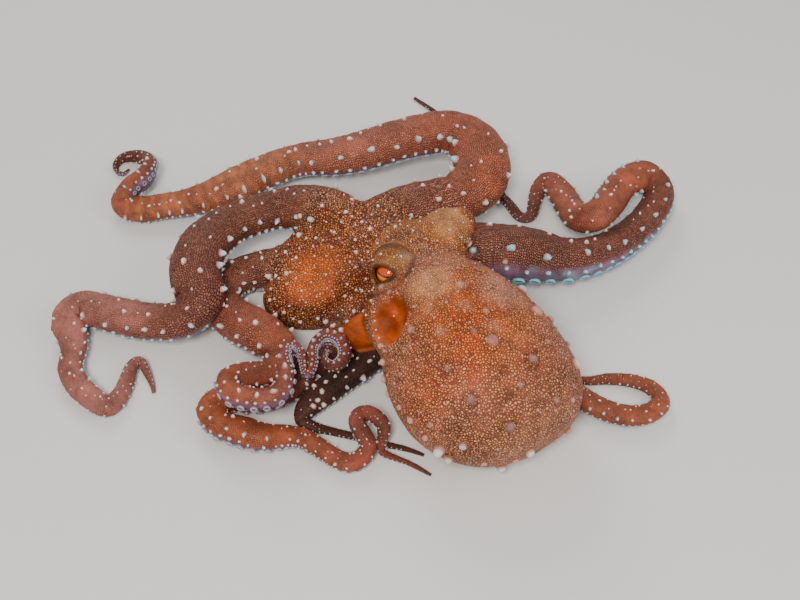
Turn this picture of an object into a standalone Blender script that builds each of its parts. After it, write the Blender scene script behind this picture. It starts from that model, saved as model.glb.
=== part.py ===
# White-spotted octopus, a still life-size model in a crawling, coiled rest.
# Millimetres are used while shaping and turned into metres when a mesh is made.
# +X is the right of the main view, +Y points away from it, +Z is up, floor at z = 0.

import math
import random

import bmesh
import bpy
import numpy as np
from mathutils import Vector

NAME = "white_spotted_octopus"
MM = 0.001
GAP = 0.3            # clearance left where one piece meets the next
FLOOR = 0.0
random.seed(11)

# Fine placing of the whole animal so that the box bottom centre is the origin
SHIFT_X = 0.0
SHIFT_Y = 0.0

# Mantle: a sac that narrows to the head and lies on the floor on its belly
MANTLE_CENTRE = (42.2, -80.7, 31.1)
MANTLE_HALF_LENGTH = 50.1
MANTLE_HALF_WIDTH = 39.9
MANTLE_HALF_HEIGHT = 30.2
MANTLE_YAW = -60.4           # degrees on the floor, towards the hind end
MANTLE_PITCH = 12.7          # degrees, hind end lower
MANTLE_EGG = 0.19            # fuller towards the hind end
MANTLE_BEND = -5.5           # sideways bow of both ends
MANTLE_BLUNT = 0.84          # under 1 is blunter than an ellipse
MANTLE_NECK_LIFT = 0.4       # how much shallower the underside is at the neck
MANTLE_RINGS = 18
MANTLE_SIDES = 26

# Neck: a full roll below the left eye, and the nape that joins head and mantle above
NECK_CENTRE = (9.0, -58.0, 32.0)
NECK_HALF = (14.0, 19.0, 13.0)
NAPE_CENTRE = (23.0, -38.0, 33.0)
NAPE_HALF = (19.0, 17.0, 14.5)

# Head between the eyes, with one swelling per eye
HEAD_CENTRE = (21.6, -20.1, 32.0)
HEAD_HALF = (21.0, 19.0, 14.0)
HEAD_TURN = 40.0             # degrees, direction of the line through the eyes
EYE_SWELL_LEFT = (9.9, -32.5, 37.0)
EYE_SWELL_RIGHT = (33.2, -12.5, 38.2)
EYE_SWELL_RADIUS = 12.3
EYE_RADIUS = 6.4
EYE_OUT = 7.6                # ball centre from the middle of the swelling
EYE_LEFT_AXIS = (-0.36, -0.81, 0.46)
EYE_RIGHT_AXIS = (0.79, 0.47, 0.39)
EYE_TILT = 8.0               # degrees, the slit falls towards the mantle
LID_RADIUS = 5.6
LID_THICK = 1.4
LID_SQUASH = 0.68            # the opening is lower than it is wide

# Crown: the dome over the mouth, the lower mound below the head, and the web between
# them and the arms behind
DOME_CENTRE = (-19.3, -9.1, 9.0)
DOME_HALF = (30.0, 27.0, 24.0)
MOUND_CENTRE = (13.7, -18.1, 6.0)
MOUND_HALF = (27.0, 22.0, 15.0)
WEB_CENTRE = (2.0, -4.0, 18.0)
WEB_HALF = (26.0, 22.0, 17.5)
# Front fold of the web, low and full, between the second and third left arms
FOLD_CENTRE = (-32.5, -27.0, 8.0)
FOLD_HALF = (22.0, 15.5, 16.5)
CROWN_FLOOR = 1.6            # underside of the crown above the floor

# Siphon: short funnel under the left eye, open end towards the left
SIPHON_ROUTE = [(11, -50, 23, 8.3), (3.5, -53.5, 21.7, 8.4), (-4.5, -55.5, 19.6, 8), (-13.5, -57.5, 16.4, 6)]
SIPHON_BORE = 2.8
SIPHON_BORE_DEPTH = 4.0

# Mantle opening beside the siphon: a smooth shallow bowl
BOWL_CENTRE = (8.0, -71.0, 45.0)
BOWL_HALF = (7.2, 11.0, 9.0)

# Arms: middle line as x, y, z, then full width, then roll of the sucker side in
# degrees (0 faces the floor, more than 0 turns to the right hand of the way out)
ARM_ROUTES = {
    # left first arm: over the left side, forward and down to a small hook
    "left_1": [
        (-11.7, 2.3, 26.6, 26.3, 0), (-25.3, 13.9, 26.5, 26.1, 0), (-40.4, 18.7, 24.4, 23.8, -1),
        (-56.9, 16.6, 22.3, 21.4, -2), (-71.8, 7.2, 23.6, 22.1, -2), (-82.7, -8.6, 25.6, 24.1, -2),
        (-85.2, -25.5, 25.8, 24.6, -3), (-81.7, -39.7, 22.9, 22.6, -4), (-89, -46, 16.6, 20.1, -4),
        (-102.5, -44.1, 11.3, 19.3, -4), (-117.6, -39.9, 9.1, 19, -5),
        (-131.6, -35.5, 8.9, 18.6, -7), (-141.1, -33.4, 8.7, 18.2, -8),
        (-146.3, -39.8, 8.2, 17.1, -10), (-143.1, -49, 6.8, 14.2, -12),
        (-141.1, -56.6, 5.8, 12.2, -15), (-141.3, -66.3, 5.6, 11.6, -17),
        (-136.4, -76, 5.5, 11.5, -20), (-128.4, -83.7, 5.2, 10.9, -22),
        (-120.7, -88.2, 4.6, 9.5, -25), (-116.4, -81.6, 3.9, 8.2, -27),
        (-114.4, -72.3, 3.5, 7.4, -30), (-113.1, -64.5, 3.9, 6.1, -60),
        (-109.9, -61.2, 3.5, 5.1, -55), (-106.1, -66.6, 2, 4.2, -50), (-103, -73, 1.4, 3, -45),
        (-101.6, -77.8, 0.9, 1.8, -40),
    ],
    # left second arm: bends back under the first one, then coils on top of the pile
    "left_2": [
        (-27.7, -17, 19.1, 23.1, 5), (-41.8, -12.3, 15.3, 21.4, 4), (-55.8, -10.9, 11.4, 19.6, 3),
        (-67.6, -13.3, 8.9, 18.6, 2), (-73.4, -19.5, 8.6, 18, 2), (-74.5, -28.5, 8.8, 18.3, 1),
        (-69, -39.3, 10.6, 19.9, 0), (-59.3, -49, 14.3, 21.5, 6), (-49.6, -58, 17.4, 20.5, 12),
        (-42.8, -64.4, 16.7, 16, 6), (-42.4, -71, 15.6, 13.4, 0), (-48.3, -77, 16, 10.8, 18),
        (-57, -79.6, 18, 11.2, 35), (-64.4, -84.6, 19.6, 12.5, 52), (-61.3, -92.8, 21.1, 13.6, 54),
        (-50.4, -96.7, 22.1, 13.6, 56), (-41.7, -95, 23.5, 12.2, 58),
        (-38.5, -87.2, 24.7, 10.6, 70), (-40, -77.3, 24.7, 8.9, 88), (-37.9, -69.1, 24.3, 7.2, 105),
        (-33.3, -70.9, 23.6, 5.8, 92), (-31.3, -77.6, 21.4, 4.9, 80), (-29.6, -83.7, 21.3, 4.9, 77),
        (-27.2, -78.5, 22.6, 5.4, 73), (-27.7, -69.6, 24.1, 6.5, 70), (-22.3, -63.2, 24.8, 7.9, 70),
        (-15, -66.1, 24.8, 7.9, 70), (-12.9, -74.7, 24.2, 6.7, 70), (-17.2, -79.8, 23.6, 5.3, 70),
        (-21.9, -75.5, 22.2, 3.6, 70), (-22.6, -70.6, 21.8, 2.7, 70), (-20.4, -68.1, 21.5, 2, 70),
        (-18.1, -69.6, 21.3, 1.6, 70),
    ],
    # left third arm: under the pile, along its near edge, then a small raised loop
    "left_3": [
        (-0.9, -22.5, 10.7, 20.3, 0), (-6, -32.8, 10.2, 19.1, -1), (-12, -41.8, 8.4, 17.6, -1),
        (-18.8, -52.1, 7.7, 16, -2), (-25.9, -63.4, 7.1, 14.9, -3), (-34.2, -74, 6.6, 13.8, -4),
        (-42.9, -81.3, 6.6, 13.7, -4), (-54, -85.1, 6.5, 13.6, -5), (-65.9, -83.9, 6.3, 13.2, 10),
        (-73.4, -90.6, 6.5, 13.5, 25), (-68, -99.4, 7.5, 15.6, 42), (-58.2, -103.4, 7.9, 16.4, 38),
        (-48.4, -106.1, 7.2, 15, 34), (-40.2, -104.8, 6, 12.4, 30), (-32.7, -104.6, 4.9, 10.2, 25),
        (-25, -109.1, 4.5, 9.3, 20), (-17.3, -114.6, 4.2, 8.8, 15), (-10.2, -117.8, 4.4, 9.2, 8),
        (-5, -115.4, 5, 8.3, 0), (-2.1, -110.6, 6.8, 7.9, -8), (-4.8, -105.8, 9.8, 7.9, -15),
        (-7.7, -100.6, 11.6, 7.5, -17), (-5.6, -97, 12.5, 7.3, -18), (0.2, -97.9, 12.3, 6.9, -20),
        (4.6, -102.7, 10, 6.2, -17), (3.7, -107.1, 6.3, 4.9, -13), (3.3, -110.6, 2.8, 3.8, -10),
        (7.3, -112.4, 1.5, 3.1, -7), (15.7, -115.8, 1.2, 2.4, -3), (25.3, -121.7, 0.7, 1.5, 0),
    ],
    # left fourth arm: dark and short, from under the siphon
    "left_4": [
        (13.6, -30.8, 11.6, 22, 0), (10.8, -41.6, 11.2, 21.3, 0), (6.1, -51.3, 9.8, 18.3, 0),
        (-4.1, -63.8, 7.6, 15.8, 0), (-14.9, -73.6, 6.8, 14.2, 0), (-24.7, -83.2, 6.1, 12.7, 0),
        (-30.8, -89.6, 5, 10.4, 0), (-32.4, -94.5, 3.5, 7.2, 0), (-28.3, -97.2, 2.6, 5.4, 0),
        (-19.7, -99.4, 1.9, 4, 0), (-9.8, -102, 1.7, 3.6, 0), (4.6, -106.1, 1.5, 3.1, 0),
        (14.4, -108.5, 1.2, 2.4, 0), (22.3, -111.4, 0.7, 1.6, 0),
    ],
    # right first arm: back over the head and away to the left, the tip curled over
    "right_1": [
        (-6.8, 1.4, 24.8, 22.4, 0), (3.8, 12.1, 24.9, 22.7, -1), (16.7, 18.4, 25.4, 23.8, -2),
        (30.7, 22.6, 24, 24.9, -4), (42.9, 29, 21.8, 26.7, -5), (51.9, 40.3, 21.9, 29, -6),
        (53.7, 56.6, 21.2, 29.6, -8), (48.1, 72.9, 19.4, 28, -9), (36.7, 79.9, 18.8, 26.6, -10),
        (23.4, 78.9, 17.5, 26.1, -13), (10.6, 74.8, 17.3, 25.7, -15), (-4.1, 69.2, 16.4, 25.9, -18),
        (-20, 65.9, 14.5, 24, -15), (-41.2, 65.9, 11.7, 20.1, -11), (-60.6, 55.9, 11.8, 20.4, -8),
        (-72.5, 47.8, 11.7, 20.3, -4), (-85.5, 41, 10.4, 17.6, 0), (-97.9, 38.2, 8.2, 15, 2),
        (-110.9, 36.7, 6.7, 14, 5), (-122.5, 34.6, 6.7, 13.9, 18), (-131.6, 38.6, 7.7, 14, 30),
        (-129.1, 43.4, 11.7, 14, 60), (-122.8, 50.8, 11.6, 13.8, 72), (-120.4, 61.9, 9.6, 11.6, 72),
        (-125, 72.3, 6.2, 8.8, 71), (-132.5, 76.9, 4.1, 6.5, 71), (-139.1, 76.3, 2.5, 5.1, 71),
        (-141.5, 69.9, 1.9, 4, 71), (-137.1, 65.1, 1.4, 2.9, 70), (-134.1, 69.4, 0.9, 1.9, 70),
    ],
    # right second arm: out to the right, back in two waves, the thin end crosses below
    "right_2": [
        (5.9, -12.6, 18.5, 28.1, 5), (21.5, -6.1, 17.1, 29.3, 14), (38.6, -4.7, 17, 33.2, 24),
        (55.7, -5.1, 17.4, 36.1, 34), (74.2, -6.4, 16.6, 34.7, 34), (92.6, -6.4, 13.4, 27.9, 34),
        (110.8, 0.4, 10.9, 22.8, 34), (129.1, 15, 9.6, 19.9, 34), (140.8, 30.2, 9, 18.7, 38),
        (146.1, 44.8, 8.9, 16.4, 42), (139.8, 51.9, 13.5, 15.6, 42), (126.4, 41.5, 18.6, 15.9, 42),
        (117.3, 26.3, 21, 16.6, 42), (108.8, 14.5, 22.4, 15.4, 42), (101.9, 16.1, 18.9, 14.5, 28),
        (98.3, 29.3, 12.8, 14.3, 15), (95, 45.1, 8.5, 13.5, 14), (89.7, 55.5, 6.3, 11.1, 12),
        (84.9, 51.6, 4.3, 8.9, 11), (81.6, 41.4, 3.4, 7, 10), (79, 32.7, 2.7, 5.7, 9),
        (74.3, 32.1, 2.6, 5.4, 8), (70.1, 39.3, 2.6, 5.5, 6), (64.4, 49.9, 2.3, 4.7, 5),
        (55.7, 68.5, 1.8, 3.8, 4), (44.7, 92.4, 1.6, 3.3, 2), (31.9, 114.9, 1.3, 2.8, 1),
        (19.7, 128.1, 1, 2, 0),
    ],
    # right third arm: along the far side of the mantle, out and back in a narrow loop
    "right_3": [
        (11.7, -23.4, 10.2, 21.3, 0), (30.9, -28.8, 9.2, 19.2, 3), (52.1, -40.2, 8, 16.7, 6),
        (71.6, -56.7, 6.7, 14, 9), (86.1, -74.9, 5.5, 11.5, 12), (97.8, -86.6, 5.4, 11.3, 15),
        (111.6, -93, 5.2, 10.8, 13), (123.4, -92.1, 4.8, 9.9, 12), (130.4, -85.1, 4.1, 8.6, 10),
        (127.9, -77.4, 3.5, 7.3, 8), (118.9, -72.5, 3.1, 6.5, 7), (108, -71.1, 2.7, 5.6, 5),
        (98.7, -71.7, 2, 4.2, 3), (92.1, -69, 1.3, 2.8, 2), (87.6, -62.2, 0.9, 1.9, 0),
    ],
    # right fourth arm: tucked below the mantle, all of it hidden from above
    "right_4": [
        (13.7, -24.1, 8, 19, 0), (18.2, -38.1, 7.5, 16, 0), (23.2, -49.1, 6.2, 13, 0),
        (31.7, -56.6, 5, 10.5, 0), (41.7, -57.1, 4.2, 8.5, 0), (46.2, -50.1, 3.5, 6.8, 0),
        (42.2, -44.1, 3, 5.2, 0), (36.5, -44.9, 2.3, 3.8, 0), (35.5, -48.6, 1.6, 2.6, 0),
    ],
}
ARM_FLAT = 0.76              # height of an arm section over its width
RING_STEP = 0.60             # distance between sections over the width
RING_STEP_ADD = 1.6          # and this much more, in mm
RING_BEND = 0.62             # never longer than this share of the bend radius
SECTION = [(1.0, -0.08), (0.74, 0.7), (0.0, 1.0), (-0.74, 0.7),
           (-1.0, -0.08), (-0.66, -0.8), (0.0, -0.9), (0.66, -0.8)]

# Where each arm leaves the crown and where its lengths meet, along it in mm;
# a wide bend is always parted at its turn
ARM_CUTS = {
    "left_1": (34, 80, 130, 207, 244),
    "left_2": (26, 57, 105, 166, 212),
    "left_3": (34, 100, 200),
    "left_4": (40, 62, 96),
    "right_1": (40, 112, 200, 280),
    "right_2": (40, 112, 172, 240, 294),
    "right_3": (40, 104, 156),
    "right_4": (27, 48, 70),
}
LENGTH_NAMES = {
    3: ("root", "middle", "tip"),
    4: ("root", "upper", "lower", "tip"),
    5: ("root", "upper", "middle", "lower", "tip"),
}

# Suckers: two rows, cups that get smaller towards the tip
SUCKER_PITCH = 1.15          # distance along one row over the arm width
SUCKER_PITCH_ADD = 6.0       # and this much more, in mm
SUCKER_RADIUS = 0.165        # cup radius over the arm width
SUCKER_RISE = 0.085          # how far the rim stands out over the arm width
SUCKER_SINK = 0.12           # how deep the foot is sunk over the arm width
SUCKER_DISH = 0.05           # depth of the dish over the arm width
SUCKER_SIDES = 6
SUCKER_SIDEWAYS = 0.76       # place in the section, share of the half width
SUCKER_DOWN = -0.70          # place in the section, share of the half height
SUCKER_SMALLEST = 0.42       # radius below which no cup is made

COLOURS = {
    "mantle": (0.46, 0.16, 0.06),
    "head": (0.48, 0.20, 0.10),
    "eye": (0.75, 0.20, 0.03),
    "siphon": (0.55, 0.20, 0.05),
    "crown": (0.45, 0.13, 0.05),
    "arm": (0.36, 0.12, 0.07),
}


# Scene and small helpers

def clear_scene():
    for obj in list(bpy.data.objects):
        bpy.data.objects.remove(obj, do_unlink=True)
    for coll in list(bpy.data.collections):
        bpy.data.collections.remove(coll)


def new_collection(name):
    coll = bpy.data.collections.new(name)
    bpy.context.scene.collection.children.link(coll)
    return coll


def material(name, colour, rough=0.5):
    mat = bpy.data.materials.new(name)
    mat.use_nodes = True
    shader = mat.node_tree.nodes["Principled BSDF"]
    shader.inputs["Base Color"].default_value = (*colour, 1.0)
    shader.inputs["Roughness"].default_value = rough
    return mat


def make_mesh(name, verts, faces, coll):
    placed = []
    for x, y, z in verts:
        placed.append(((x + SHIFT_X) * MM, (y + SHIFT_Y) * MM, z * MM))
    mesh = bpy.data.meshes.new(name)
    mesh.from_pydata(placed, [], faces)
    bm = bmesh.new()
    bm.from_mesh(mesh)
    bmesh.ops.recalc_face_normals(bm, faces=bm.faces)
    bmesh.ops.triangulate(bm, faces=bm.faces)
    bm.to_mesh(mesh)
    bm.free()
    obj = bpy.data.objects.new(name, mesh)
    coll.objects.link(obj)
    return obj


def drop(obj):
    mesh = obj.data
    bpy.data.objects.remove(obj, do_unlink=True)
    bpy.data.meshes.remove(mesh)


def bake(obj):
    graph = bpy.context.evaluated_depsgraph_get()
    graph.update()
    mesh = bpy.data.meshes.new_from_object(obj.evaluated_get(graph))
    old = obj.data
    obj.modifiers.clear()
    obj.data = mesh
    bpy.data.meshes.remove(old)
    mesh.name = obj.name


def keep_largest(obj):
    bm = bmesh.new()
    bm.from_mesh(obj.data)
    seen_faces = set()
    groups = []
    for face in bm.faces:
        if face.index in seen_faces:
            continue
        stack = [face]
        group = []
        seen_faces.add(face.index)
        while stack:
            current = stack.pop()
            group.append(current)
            for edge in current.edges:
                for other in edge.link_faces:
                    if other.index not in seen_faces:
                        seen_faces.add(other.index)
                        stack.append(other)
        groups.append(group)
    if len(groups) > 1:
        groups.sort(key=lambda g: sum(f.calc_area() for f in g))
        for group in groups[:-1]:
            bmesh.ops.delete(bm, geom=group, context="FACES")
    bmesh.ops.triangulate(bm, faces=bm.faces)
    bm.to_mesh(obj.data)
    bm.free()


def boolean(target, others, operation, solver="MANIFOLD"):
    if not others:
        return
    coll = new_collection("tool_set")
    for obj in others:
        for old in list(obj.users_collection):
            old.objects.unlink(obj)
        coll.objects.link(obj)
    mod = target.modifiers.new("join", "BOOLEAN")
    mod.operation = operation
    mod.solver = solver
    mod.operand_type = "COLLECTION"
    mod.collection = coll
    bpy.context.view_layer.update()
    bake(target)
    for obj in list(coll.objects):
        drop(obj)
    bpy.data.collections.remove(coll)
    keep_largest(target)


# Forms

def unit(v):
    v = np.asarray(v, float)
    return v / np.linalg.norm(v)


def globe(half, rings, sides, centre=(0, 0, 0), turn=0.0):
    verts = []
    faces = []
    co, si = math.cos(math.radians(turn)), math.sin(math.radians(turn))
    for i in range(1, rings):
        polar = math.pi * i / rings
        for j in range(sides):
            around = 2 * math.pi * j / sides
            x = half[0] * math.sin(polar) * math.cos(around)
            y = half[1] * math.sin(polar) * math.sin(around)
            z = half[2] * math.cos(polar)
            verts.append((centre[0] + x * co - y * si, centre[1] + x * si + y * co, centre[2] + z))
    top = len(verts)
    verts.append((centre[0], centre[1], centre[2] + half[2]))
    verts.append((centre[0], centre[1], centre[2] - half[2]))
    for i in range(rings - 2):
        for j in range(sides):
            k = (j + 1) % sides
            faces.append((i * sides + j, (i + 1) * sides + j, (i + 1) * sides + k, i * sides + k))
    last = (rings - 2) * sides
    for j in range(sides):
        k = (j + 1) % sides
        faces.append((top, j, k))
        faces.append((top + 1, last + k, last + j))
    return verts, faces


def mantle_form(grow=0.0):
    yaw = math.radians(MANTLE_YAW)
    pitch = math.radians(MANTLE_PITCH)
    back = np.array([math.cos(yaw) * math.cos(pitch), math.sin(yaw) * math.cos(pitch), -math.sin(pitch)])
    side = unit(np.cross(back, (0, 0, 1)))
    up = np.cross(side, back)
    middle = np.array(MANTLE_CENTRE)
    verts = []
    faces = []
    for i in range(1, MANTLE_RINGS):
        polar = math.pi * i / MANTLE_RINGS
        along = -math.cos(polar)
        around_size = math.sin(polar) ** MANTLE_BLUNT * (1 + MANTLE_EGG * along)
        bow = MANTLE_BEND * along * along
        for j in range(MANTLE_SIDES):
            around = 2 * math.pi * j / MANTLE_SIDES
            p = middle + back * along * (MANTLE_HALF_LENGTH + grow)
            p = p + side * (math.cos(around) * around_size * (MANTLE_HALF_WIDTH + grow) + bow)
            rise = math.sin(around) * around_size * (MANTLE_HALF_HEIGHT + grow)
            if rise < 0:
                rise = rise * (1 - MANTLE_NECK_LIFT * min(1.0, max(0.0, -along)))
            p = p + up * rise
            p[2] = max(p[2], FLOOR)
            verts.append(tuple(p))
    for i in range(MANTLE_RINGS - 2):
        for j in range(MANTLE_SIDES):
            k = (j + 1) % MANTLE_SIDES
            faces.append((i * MANTLE_SIDES + j, (i + 1) * MANTLE_SIDES + j,
                          (i + 1) * MANTLE_SIDES + k, i * MANTLE_SIDES + k))
    front = len(verts)
    verts.append(tuple(middle - back * (MANTLE_HALF_LENGTH + grow) + side * MANTLE_BEND))
    verts.append(tuple(middle + back * (MANTLE_HALF_LENGTH + grow) + side * MANTLE_BEND))
    last = (MANTLE_RINGS - 2) * MANTLE_SIDES
    for j in range(MANTLE_SIDES):
        k = (j + 1) % MANTLE_SIDES
        faces.append((front, j, k))
        faces.append((front + 1, last + k, last + j))
    return verts, faces


def reach(origin, direction, centre, half, turn):
    # distance from the origin to where the direction leaves a turned ellipsoid
    co, si = math.cos(math.radians(turn)), math.sin(math.radians(turn))
    o = np.asarray(origin, float) - np.asarray(centre, float)
    o = np.array([o[0] * co + o[1] * si, -o[0] * si + o[1] * co, o[2]]) / half
    d = np.array([direction[0] * co + direction[1] * si, -direction[0] * si + direction[1] * co,
                  direction[2]]) / half
    a = d @ d
    b = o @ d
    c = o @ o - 1
    disc = b * b - a * c
    if disc <= 0:
        return 0.0
    return max(0.0, (-b + math.sqrt(disc)) / a)


def head_form(grow=0.0, rings=14, sides=24):
    base, faces = globe((1, 1, 1), rings, sides)
    verts = []
    swell = (EYE_SWELL_RADIUS,) * 3
    for v in base:
        d = unit(v)
        parts = [reach(HEAD_CENTRE, d, HEAD_CENTRE, HEAD_HALF, HEAD_TURN),
                 reach(HEAD_CENTRE, d, EYE_SWELL_LEFT, swell, 0),
                 reach(HEAD_CENTRE, d, EYE_SWELL_RIGHT, swell, 0)]
        size = sum(p ** 10 for p in parts) ** 0.1 + grow
        verts.append(tuple(np.array(HEAD_CENTRE) + d * size))
    return verts, faces


def route_of(points):
    # smooth middle line through the given points, evenly walked, with width and roll
    pts = np.array(points, float)
    pts = np.vstack([2 * pts[0] - pts[1], pts, 2 * pts[-1] - pts[-2]])
    dense = []
    for i in range(1, len(pts) - 2):
        p = pts[i - 1:i + 3]
        t = [0.0]
        for a, b in ((0, 1), (1, 2), (2, 3)):
            t.append(t[-1] + max(np.linalg.norm((p[b] - p[a])[:3]), 1e-6) ** 0.5)
        for u in np.linspace(t[1], t[2], 20, endpoint=False):
            a1 = (t[1] - u) / (t[1] - t[0]) * p[0] + (u - t[0]) / (t[1] - t[0]) * p[1]
            a2 = (t[2] - u) / (t[2] - t[1]) * p[1] + (u - t[1]) / (t[2] - t[1]) * p[2]
            a3 = (t[3] - u) / (t[3] - t[2]) * p[2] + (u - t[2]) / (t[3] - t[2]) * p[3]
            b1 = (t[2] - u) / (t[2] - t[0]) * a1 + (u - t[0]) / (t[2] - t[0]) * a2
            b2 = (t[3] - u) / (t[3] - t[1]) * a2 + (u - t[1]) / (t[3] - t[1]) * a3
            dense.append((t[2] - u) / (t[2] - t[1]) * b1 + (u - t[1]) / (t[2] - t[1]) * b2)
    dense.append(pts[-2])
    dense = np.array(dense)
    far = np.r_[0, np.cumsum(np.linalg.norm(np.diff(dense[:, :3], axis=0), axis=1))]
    even = np.linspace(0, far[-1], int(far[-1] / 0.75) + 2)
    line = np.stack([np.interp(even, far, dense[:, k]) for k in range(5)], 1)
    for _ in range(8):
        line[1:-1] = 0.5 * line[1:-1] + 0.25 * (line[:-2] + line[2:])
    far = np.r_[0, np.cumsum(np.linalg.norm(np.diff(line[:, :3], axis=0), axis=1))]
    return far, line


def at(route, s):
    # place, direction, side and up of the section at distance s, and its width
    far, line = route
    p = np.array([np.interp(s, far, line[:, k]) for k in range(5)])
    a = np.array([np.interp(s - 0.8, far, line[:, k]) for k in range(3)])
    b = np.array([np.interp(s + 0.8, far, line[:, k]) for k in range(3)])
    ahead = unit(b - a)
    side = unit(np.cross(ahead, (0, 0, 1)))
    up = np.cross(side, ahead)
    roll = math.radians(p[4])
    turned_side = side * math.cos(roll) + up * math.sin(roll)
    turned_up = up * math.cos(roll) - side * math.sin(roll)
    return p[:3], ahead, turned_side, turned_up, p[3]


def bend_radius(route, s):
    far, line = route
    s = min(s, far[-1] - 1.7)
    a, b, c = [np.array([np.interp(s + d, far, line[:, k]) for k in range(3)]) for d in (-1.6, 0, 1.6)]
    turn = math.acos(max(-1.0, min(1.0, float(unit(b - a) @ unit(c - b)))))
    return 1.6 / max(turn, 0.02)


def tube_form(route, start, end, grow=0.0):
    far, line = route
    stations = [start]
    while True:
        width = np.interp(stations[-1], far, line[:, 3])
        step = RING_STEP * width + RING_STEP_ADD
        step = max(1.4, min(step, RING_BEND * bend_radius(route, stations[-1] + step / 2)))
        if stations[-1] + step * 1.4 > end:
            break
        stations.append(stations[-1] + step)
    stations.append(end)
    verts = []
    faces = []
    n = len(SECTION)
    for s in stations:
        p, ahead, side, up, width = at(route, s)
        for x, y in SECTION:
            q = p + side * x * (width / 2 + grow) + up * y * (width / 2 * ARM_FLAT + grow)
            verts.append((q[0], q[1], max(q[2], FLOOR)))
    for i in range(len(stations) - 1):
        for j in range(n):
            k = (j + 1) % n
            faces.append((i * n + j, i * n + k, (i + 1) * n + k, (i + 1) * n + j))
    faces.append(tuple(reversed(range(n))))
    last = (len(stations) - 1) * n
    faces.append(tuple(last + j for j in range(n)))
    return verts, faces


def sucker_form(centre, outward, along, radius, rise, sink, dish):
    outward = unit(outward)
    across = unit(np.cross(outward, along))
    along = np.cross(across, outward)
    verts = []
    faces = []
    n = SUCKER_SIDES
    spin = random.uniform(0, math.pi / n)
    for level, size in ((-sink, 0.8), (rise, 1.0)):
        for j in range(n):
            ang = 2 * math.pi * j / n + spin
            q = centre + outward * level
            q = q + (along * math.cos(ang) + across * math.sin(ang)) * radius * size
            verts.append((q[0], q[1], max(q[2], FLOOR)))
    foot = centre - outward * sink * 1.1
    pit = centre + outward * (rise - dish)
    verts.append((foot[0], foot[1], max(foot[2], FLOOR)))
    verts.append((pit[0], pit[1], max(pit[2], FLOOR + 0.05)))
    for j in range(n):
        k = (j + 1) % n
        faces.append((j, k, n + k, n + j))
        faces.append((2 * n, k, j))
        faces.append((2 * n + 1, n + j, n + k))
    return verts, faces


def sucker_places(route, first, last):
    far, line = route
    places = []
    for hand in (-1, 1):
        s = 6.0 if hand < 0 else None
        if s is None:
            width = np.interp(6.0, far, line[:, 3])
            s = 6.0 + (width * SUCKER_PITCH + SUCKER_PITCH_ADD) / 2
        while s < far[-1] - 1.0:
            width = np.interp(s, far, line[:, 3])
            radius = width * SUCKER_RADIUS
            if radius < SUCKER_SMALLEST:
                break
            if first + radius + 0.5 < s < last - radius - 0.5:
                places.append((s, hand))
            s += width * SUCKER_PITCH + SUCKER_PITCH_ADD
    return places


def add_suckers(obj, route, first, last, coll):
    cups = []
    for s, hand in sucker_places(route, first, last):
        p, ahead, side, up, width = at(route, s)
        size = random.uniform(0.93, 1.07)
        half = width / 2
        foot = p + side * hand * half * SUCKER_SIDEWAYS + up * half * ARM_FLAT * SUCKER_DOWN
        foot[2] = max(foot[2], FLOOR)
        outward = side * hand * 0.62 - up * 0.78
        verts, faces = sucker_form(foot, outward, ahead, width * SUCKER_RADIUS * size,
                                   width * SUCKER_RISE, width * SUCKER_SINK, width * SUCKER_DISH)
        cups.append(make_mesh("cup", verts, faces, coll))
    boolean(obj, cups, "UNION")


# Build

clear_scene()
parts = new_collection(NAME)
cutters = new_collection("cutters")
cutters.hide_render = True
work = new_collection("work")

routes = {}
for arm, points in ARM_ROUTES.items():
    routes[arm] = route_of(points)

# Head with its lids and the two eye sockets
head = make_mesh("head", *head_form(), parts)
eye_set = (("left", EYE_SWELL_LEFT, EYE_LEFT_AXIS, -EYE_TILT),
           ("right", EYE_SWELL_RIGHT, EYE_RIGHT_AXIS, EYE_TILT))
lids = []
sockets = []
eyes = []
for hand, swell, axis, tilt in eye_set:
    axis = unit(axis)
    ball = np.array(swell) + axis * EYE_OUT
    across = unit(np.cross((0, 0, 1), axis))
    upward = np.cross(axis, across)
    tilt = math.radians(tilt)
    across = across * math.cos(tilt) + upward * math.sin(tilt)
    upward = np.cross(axis, across)
    ring = ball + axis * 3.4
    verts = []
    faces = []
    around_n = 14
    tube_n = 5
    for i in range(around_n):
        a = 2 * math.pi * i / around_n
        out = across * math.cos(a) + upward * math.sin(a) * LID_SQUASH
        mid = ring + out * LID_RADIUS
        out = unit(out)
        for j in range(tube_n):
            b = 2 * math.pi * j / tube_n
            q = mid + (out * math.cos(b) * 1.35 + axis * math.sin(b)) * LID_THICK
            verts.append(tuple(q))
    for i in range(around_n):
        for j in range(tube_n):
            i2 = (i + 1) % around_n
            j2 = (j + 1) % tube_n
            faces.append((i * tube_n + j, i2 * tube_n + j, i2 * tube_n + j2, i * tube_n + j2))
    lids.append(make_mesh("lid", verts, faces, work))
    verts, faces = globe((EYE_RADIUS,) * 3, 9, 14, tuple(ball))
    eyes.append(make_mesh("eye_" + hand, verts, faces, parts))
    verts, faces = globe((EYE_RADIUS + GAP,) * 3, 9, 14, tuple(ball))
    sockets.append(make_mesh("socket", verts, faces, work))
boolean(head, lids, "UNION")
boolean(head, sockets, "DIFFERENCE")

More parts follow.
